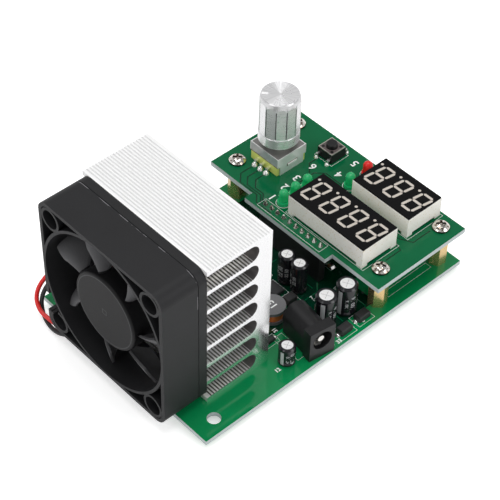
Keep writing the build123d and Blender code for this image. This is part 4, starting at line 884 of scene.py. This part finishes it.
# The cover's fan side is painted darker, as painted shade, and its top darker still, as the knob's painted
# shadow.
cover_painted_light = pressed_steel.mix(cover_fan_side, (0.92, 0.92, 0.91), (0.56, 0.58, 0.60))
cover_painted_light = pressed_steel.mix(cover_top, cover_painted_light, (0.28, 0.27, 0.26))
shell_half = (shell_high - shell_low) / 2
to_side = abs(pressed_steel.axis("X") - shell_middle.x) - shell_half.x
to_end = abs(pressed_steel.axis("Y") - shell_middle.y) - shell_half.y
# Its edges are painted near white, as painted highlights.
folded_width = 0.32 * mm
upright_width = 0.28 * mm
folded_edge = (pressed_steel.math("MAXIMUM", to_side, to_end) > -folded_width) * cover_top
upright_edge = pressed_steel.math("MINIMUM", to_side, to_end) > -upright_width
painted_edge_highlight = pressed_steel.math("MAXIMUM", folded_edge, upright_edge)
cover_painted_light = pressed_steel.mix(painted_edge_highlight, cover_painted_light, (0.98, 0.98, 0.98))
tab_size = Vector((3.6, 0.22, 0.55)) * mm
tab_from_side = 4.1 * mm
tab_from_foot = 2.4 * mm
tab_low = Vector((shell_low.x + tab_from_side, shell_low.y - tab_size.y, shell_low.z + tab_from_foot))
tab_high = tab_low + tab_size
tab_middle = (tab_low + tab_high) / 2
# The slot that the tab was lanced from is painted dark, as painted shade in its opening. The line round the
# cover's foot on the fan side is a dark joint.
slot_half_length = 2.15 * mm
slot_half_height = 0.52 * mm
sheet_skin = 0.1 * mm
near_face = pressed_steel.axis("Y") < tab_high.y + sheet_skin
along_tab = abs(pressed_steel.axis("X") - tab_middle.x) < slot_half_length
level_with_tab = abs(pressed_steel.axis("Z") - tab_middle.z) < slot_half_height
tab_slot = near_face * along_tab * level_with_tab
foot_line_and_slot_shade = pressed_steel.math("MAXIMUM", cover_foot, tab_slot)
pressed_steel.set("Base Color", pressed_steel.mix(foot_line_and_slot_shade, cover_painted_light, (0.16, 0.10, 0.08)))
dress("encoder_shell", pressed_steel)
dress("encoder_wheel", epoxy)
dress("encoder_shaft", steel)


def solder_mound(x, y, low, radius, height, sides=14):
    """A bright rounded mound of solder."""
    rings = [(1.0, 0.0), (0.86, 0.34), (0.62, 0.66), (0.32, 0.92)]
    corners = []
    for share, rise in rings:
        for k in range(sides):
            angle = 2 * pi * k / sides
            out = radius * share
            corners.append((x + out * cos(angle), y + out * sin(angle), low + height * rise))
    corners.append((x, y, low + height))
    faces = []
    for step in range(len(rings) - 1):
        for k in range(sides):
            here = step * sides + k
            beside = step * sides + (k + 1) % sides
            faces.append((here, beside, beside + sides, here + sides))
    last = (len(rings) - 1) * sides
    faces += [(last + k, last + (k + 1) % sides, len(corners) - 1) for k in range(sides)]
    return corners, faces


mounds = []
for low, high in solids("encoder_pins"):
    outer = low.x if low.x < shell_low.x else high.x
    mounds.append(solder_mound(outer, (low.y + high.y) / 2, low.z, radius=1.0 * mm, height=1.1 * mm))
case_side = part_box("switch_case")[0].x
for low, high in solids("switch_legs"):
    outer = low.x if high.x <= case_side + 1.0 * mm else high.x
    mounds.append(solder_mound(outer, (low.y + high.y) / 2, low.z, radius=0.75 * mm, height=0.8 * mm))
# The lanced tab is painted near white, as a painted highlight.
tab_steel_highlight = Finish("tab_steel_highlight", (0.96, 0.96, 0.95), roughness=0.25, metallic=0.15)
skin("cover_tab", [end_cap(tab_low, tab_high, slope=Vector((0, 0, 0)))], tab_steel_highlight)
widest_leg = 0.9 * mm
for low, high in solids("chip_legs"):
    middle = (low + high) / 2
    if min(high.x - low.x, high.y - low.y) > widest_leg:
        mounds.append(solder_mound(middle.x, middle.y, low.z, radius=0.8 * mm, height=0.75 * mm))
board_solder = skin("surface_solder", mounds, tin)
for face in board_solder.data.polygons:
    face.use_smooth = True


# The knob is turned from aluminium: fine rings on its dished top, flutes down its side, and a
# white pointer painted near the top's edge.
knob_low, knob_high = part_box("knob")
knob_middle = (knob_low + knob_high) / 2
knob_metal = Finish("turned_aluminium", roughness=0.26, metallic=0.92, Anisotropic=0.9,
                    Anisotropic_Rotation=0.25)
off_x = knob_metal.axis("X") - knob_middle.x
off_y = knob_metal.axis("Y") - knob_middle.y
from_middle = knob_metal.math("SQRT", off_x * off_x + off_y * off_y)
ring_pitch = 0.30 * mm
spun = knob_metal.math("SINE", from_middle * (2 * pi / ring_pitch)) * 0.5 + 0.5
is_top = knob_metal.facing("Z") > 0.8
flute_count = 12
flute_start = 6 / 30
flute_middle = knob_middle.z + 0.6 * mm
flute_half = 5.2 * mm
flutes = knob_metal.math("ARCTAN2", off_y, off_x) * (flute_count / (2 * pi)) - flute_start
flute = knob_metal.math("FRACT", flutes + flute_count)
flat_half_share = 0.455
# The lines between the flats are painted dark, as dirt and shade in the flutes.
between_flats = abs(flute - 0.5) > flat_half_share
flute_dirt_and_shade = between_flats * (abs(knob_metal.axis("Z") - flute_middle) < flute_half)
# The top is painted in fine radial streaks, as painted reflections of its turned finish.
streak_rate = 11
wander_rate = 3.7
wander = knob_metal.math("SINE", flutes * wander_rate) * 4
reflection_streaks = knob_metal.math("SINE", flutes * streak_rate + wander) * 0.5 + 0.5
streaked_tone = knob_metal.mix(reflection_streaks * is_top, (0.97, 0.97, 0.98), (0.80, 0.80, 0.81))
pointer_turn = radians(136)
pointer_middle = 4.8 * mm
pointer_half_length = 1.2 * mm
pointer_half_width = 0.42 * mm
outward = off_x * cos(pointer_turn) + off_y * sin(pointer_turn)
crossward = off_y * cos(pointer_turn) - off_x * sin(pointer_turn)
pointer = is_top * (abs(outward - pointer_middle) < pointer_half_length)
pointer = pointer * (abs(crossward) < pointer_half_width)
# The chamfer round the top is painted darker, as painted dark reflection.
rounded = (knob_metal.facing("Z") > 0.2) * (1 - is_top)
turned_tone = knob_metal.mix(rounded, streaked_tone, (0.78, 0.78, 0.79))
turned_tone = knob_metal.mix(pointer, turned_tone, (1.0, 1.0, 1.0))
knob_metal.set("Base Color", knob_metal.mix(flute_dirt_and_shade, turned_tone, (0.16, 0.16, 0.17)))
knob_metal.set("Metallic", (0.82 - is_top * 0.2) * (1 - pointer))
turned = knob_metal.noise(0.10 * mm, detail=3, stretch=(40, 40, 1))
knob_metal.set("Roughness", 0.22 + turned * 0.14)
knob_metal.bump(spun * is_top + turned * (1 - is_top) * 0.5, 0.042 * mm, 0.1)
dress("knob", knob_metal)


# The push switch has a black case in a thin steel frame that is folded over its edges and
# held by four melted studs, and a round black button.
switch_plastic = Finish("switch_plastic", (0.008, 0.008, 0.009), roughness=0.4, Specular_IOR_Level=0.35)
for node in ("switch_case", "switch_button"):
    dress(node, switch_plastic)
cover_low, cover_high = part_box("switch_cover")
cover_middle = (cover_low + cover_high) / 2
frame_width = 0.24 * mm
switch_frame = Finish("switch_frame", roughness=0.28)
from_middle_x = abs(switch_frame.axis("X") - cover_middle.x)
from_middle_y = abs(switch_frame.axis("Y") - cover_middle.y)
plate_reach = (cover_high.x - cover_low.x) / 2 - frame_width
rim = switch_frame.math("MAXIMUM", from_middle_x > plate_reach, from_middle_y > plate_reach)
stud_reach = plate_reach - 0.8 * mm
stud_radius = 0.55 * mm
off_stud_x = from_middle_x - stud_reach
off_stud_y = from_middle_y - stud_reach
stud = off_stud_x * off_stud_x + off_stud_y * off_stud_y < stud_radius ** 2
plate_black = switch_frame.mix(stud, (0.115, 0.095, 0.092), (0.003, 0.003, 0.003))
switch_frame.set("Base Color", switch_frame.mix(rim, plate_black, (0.80, 0.74, 0.68)))
switch_frame.set("Metallic", rim)
dress("switch_cover", switch_frame)


# The floor is white and matt, at the height that the lowest screw heads rest on. It glows a
# little for the camera and in reflections, so that it reads as white paper.
floor_mesh = bpy.data.meshes.new("floor")
half_floor = 6.0
floor_height = cad_box[0].z
floor_outline = frame_line(-half_floor, half_floor, -half_floor, half_floor)
floor_mesh.from_pydata([(x, y, floor_height) for x, y in floor_outline], [], [(0, 1, 2, 3)])
floor = bpy.data.objects.new("floor", floor_mesh)
floor_white = Finish("floor_white", (0.90, 0.90, 0.90), roughness=0.9)
seen = floor_white.node("LightPath", {}, {}, output="Is Camera Ray")
glossy = floor_white.node("LightPath", {}, {}, output="Is Glossy Ray")
through = floor_white.node("LightPath", {}, {}, output="Is Transmission Ray")
mirrored = glossy + through
glow = floor_white.mix(mirrored, (0, 0, 0), (0.12, 0.12, 0.12))
floor_white.set("Emission Color", floor_white.mix(seen, glow, (0.50, 0.50, 0.50)))
floor_white.set("Emission Strength", 1.0)
floor_mesh.materials.append(floor_white.material)
bpy.context.scene.collection.objects.link(floor)
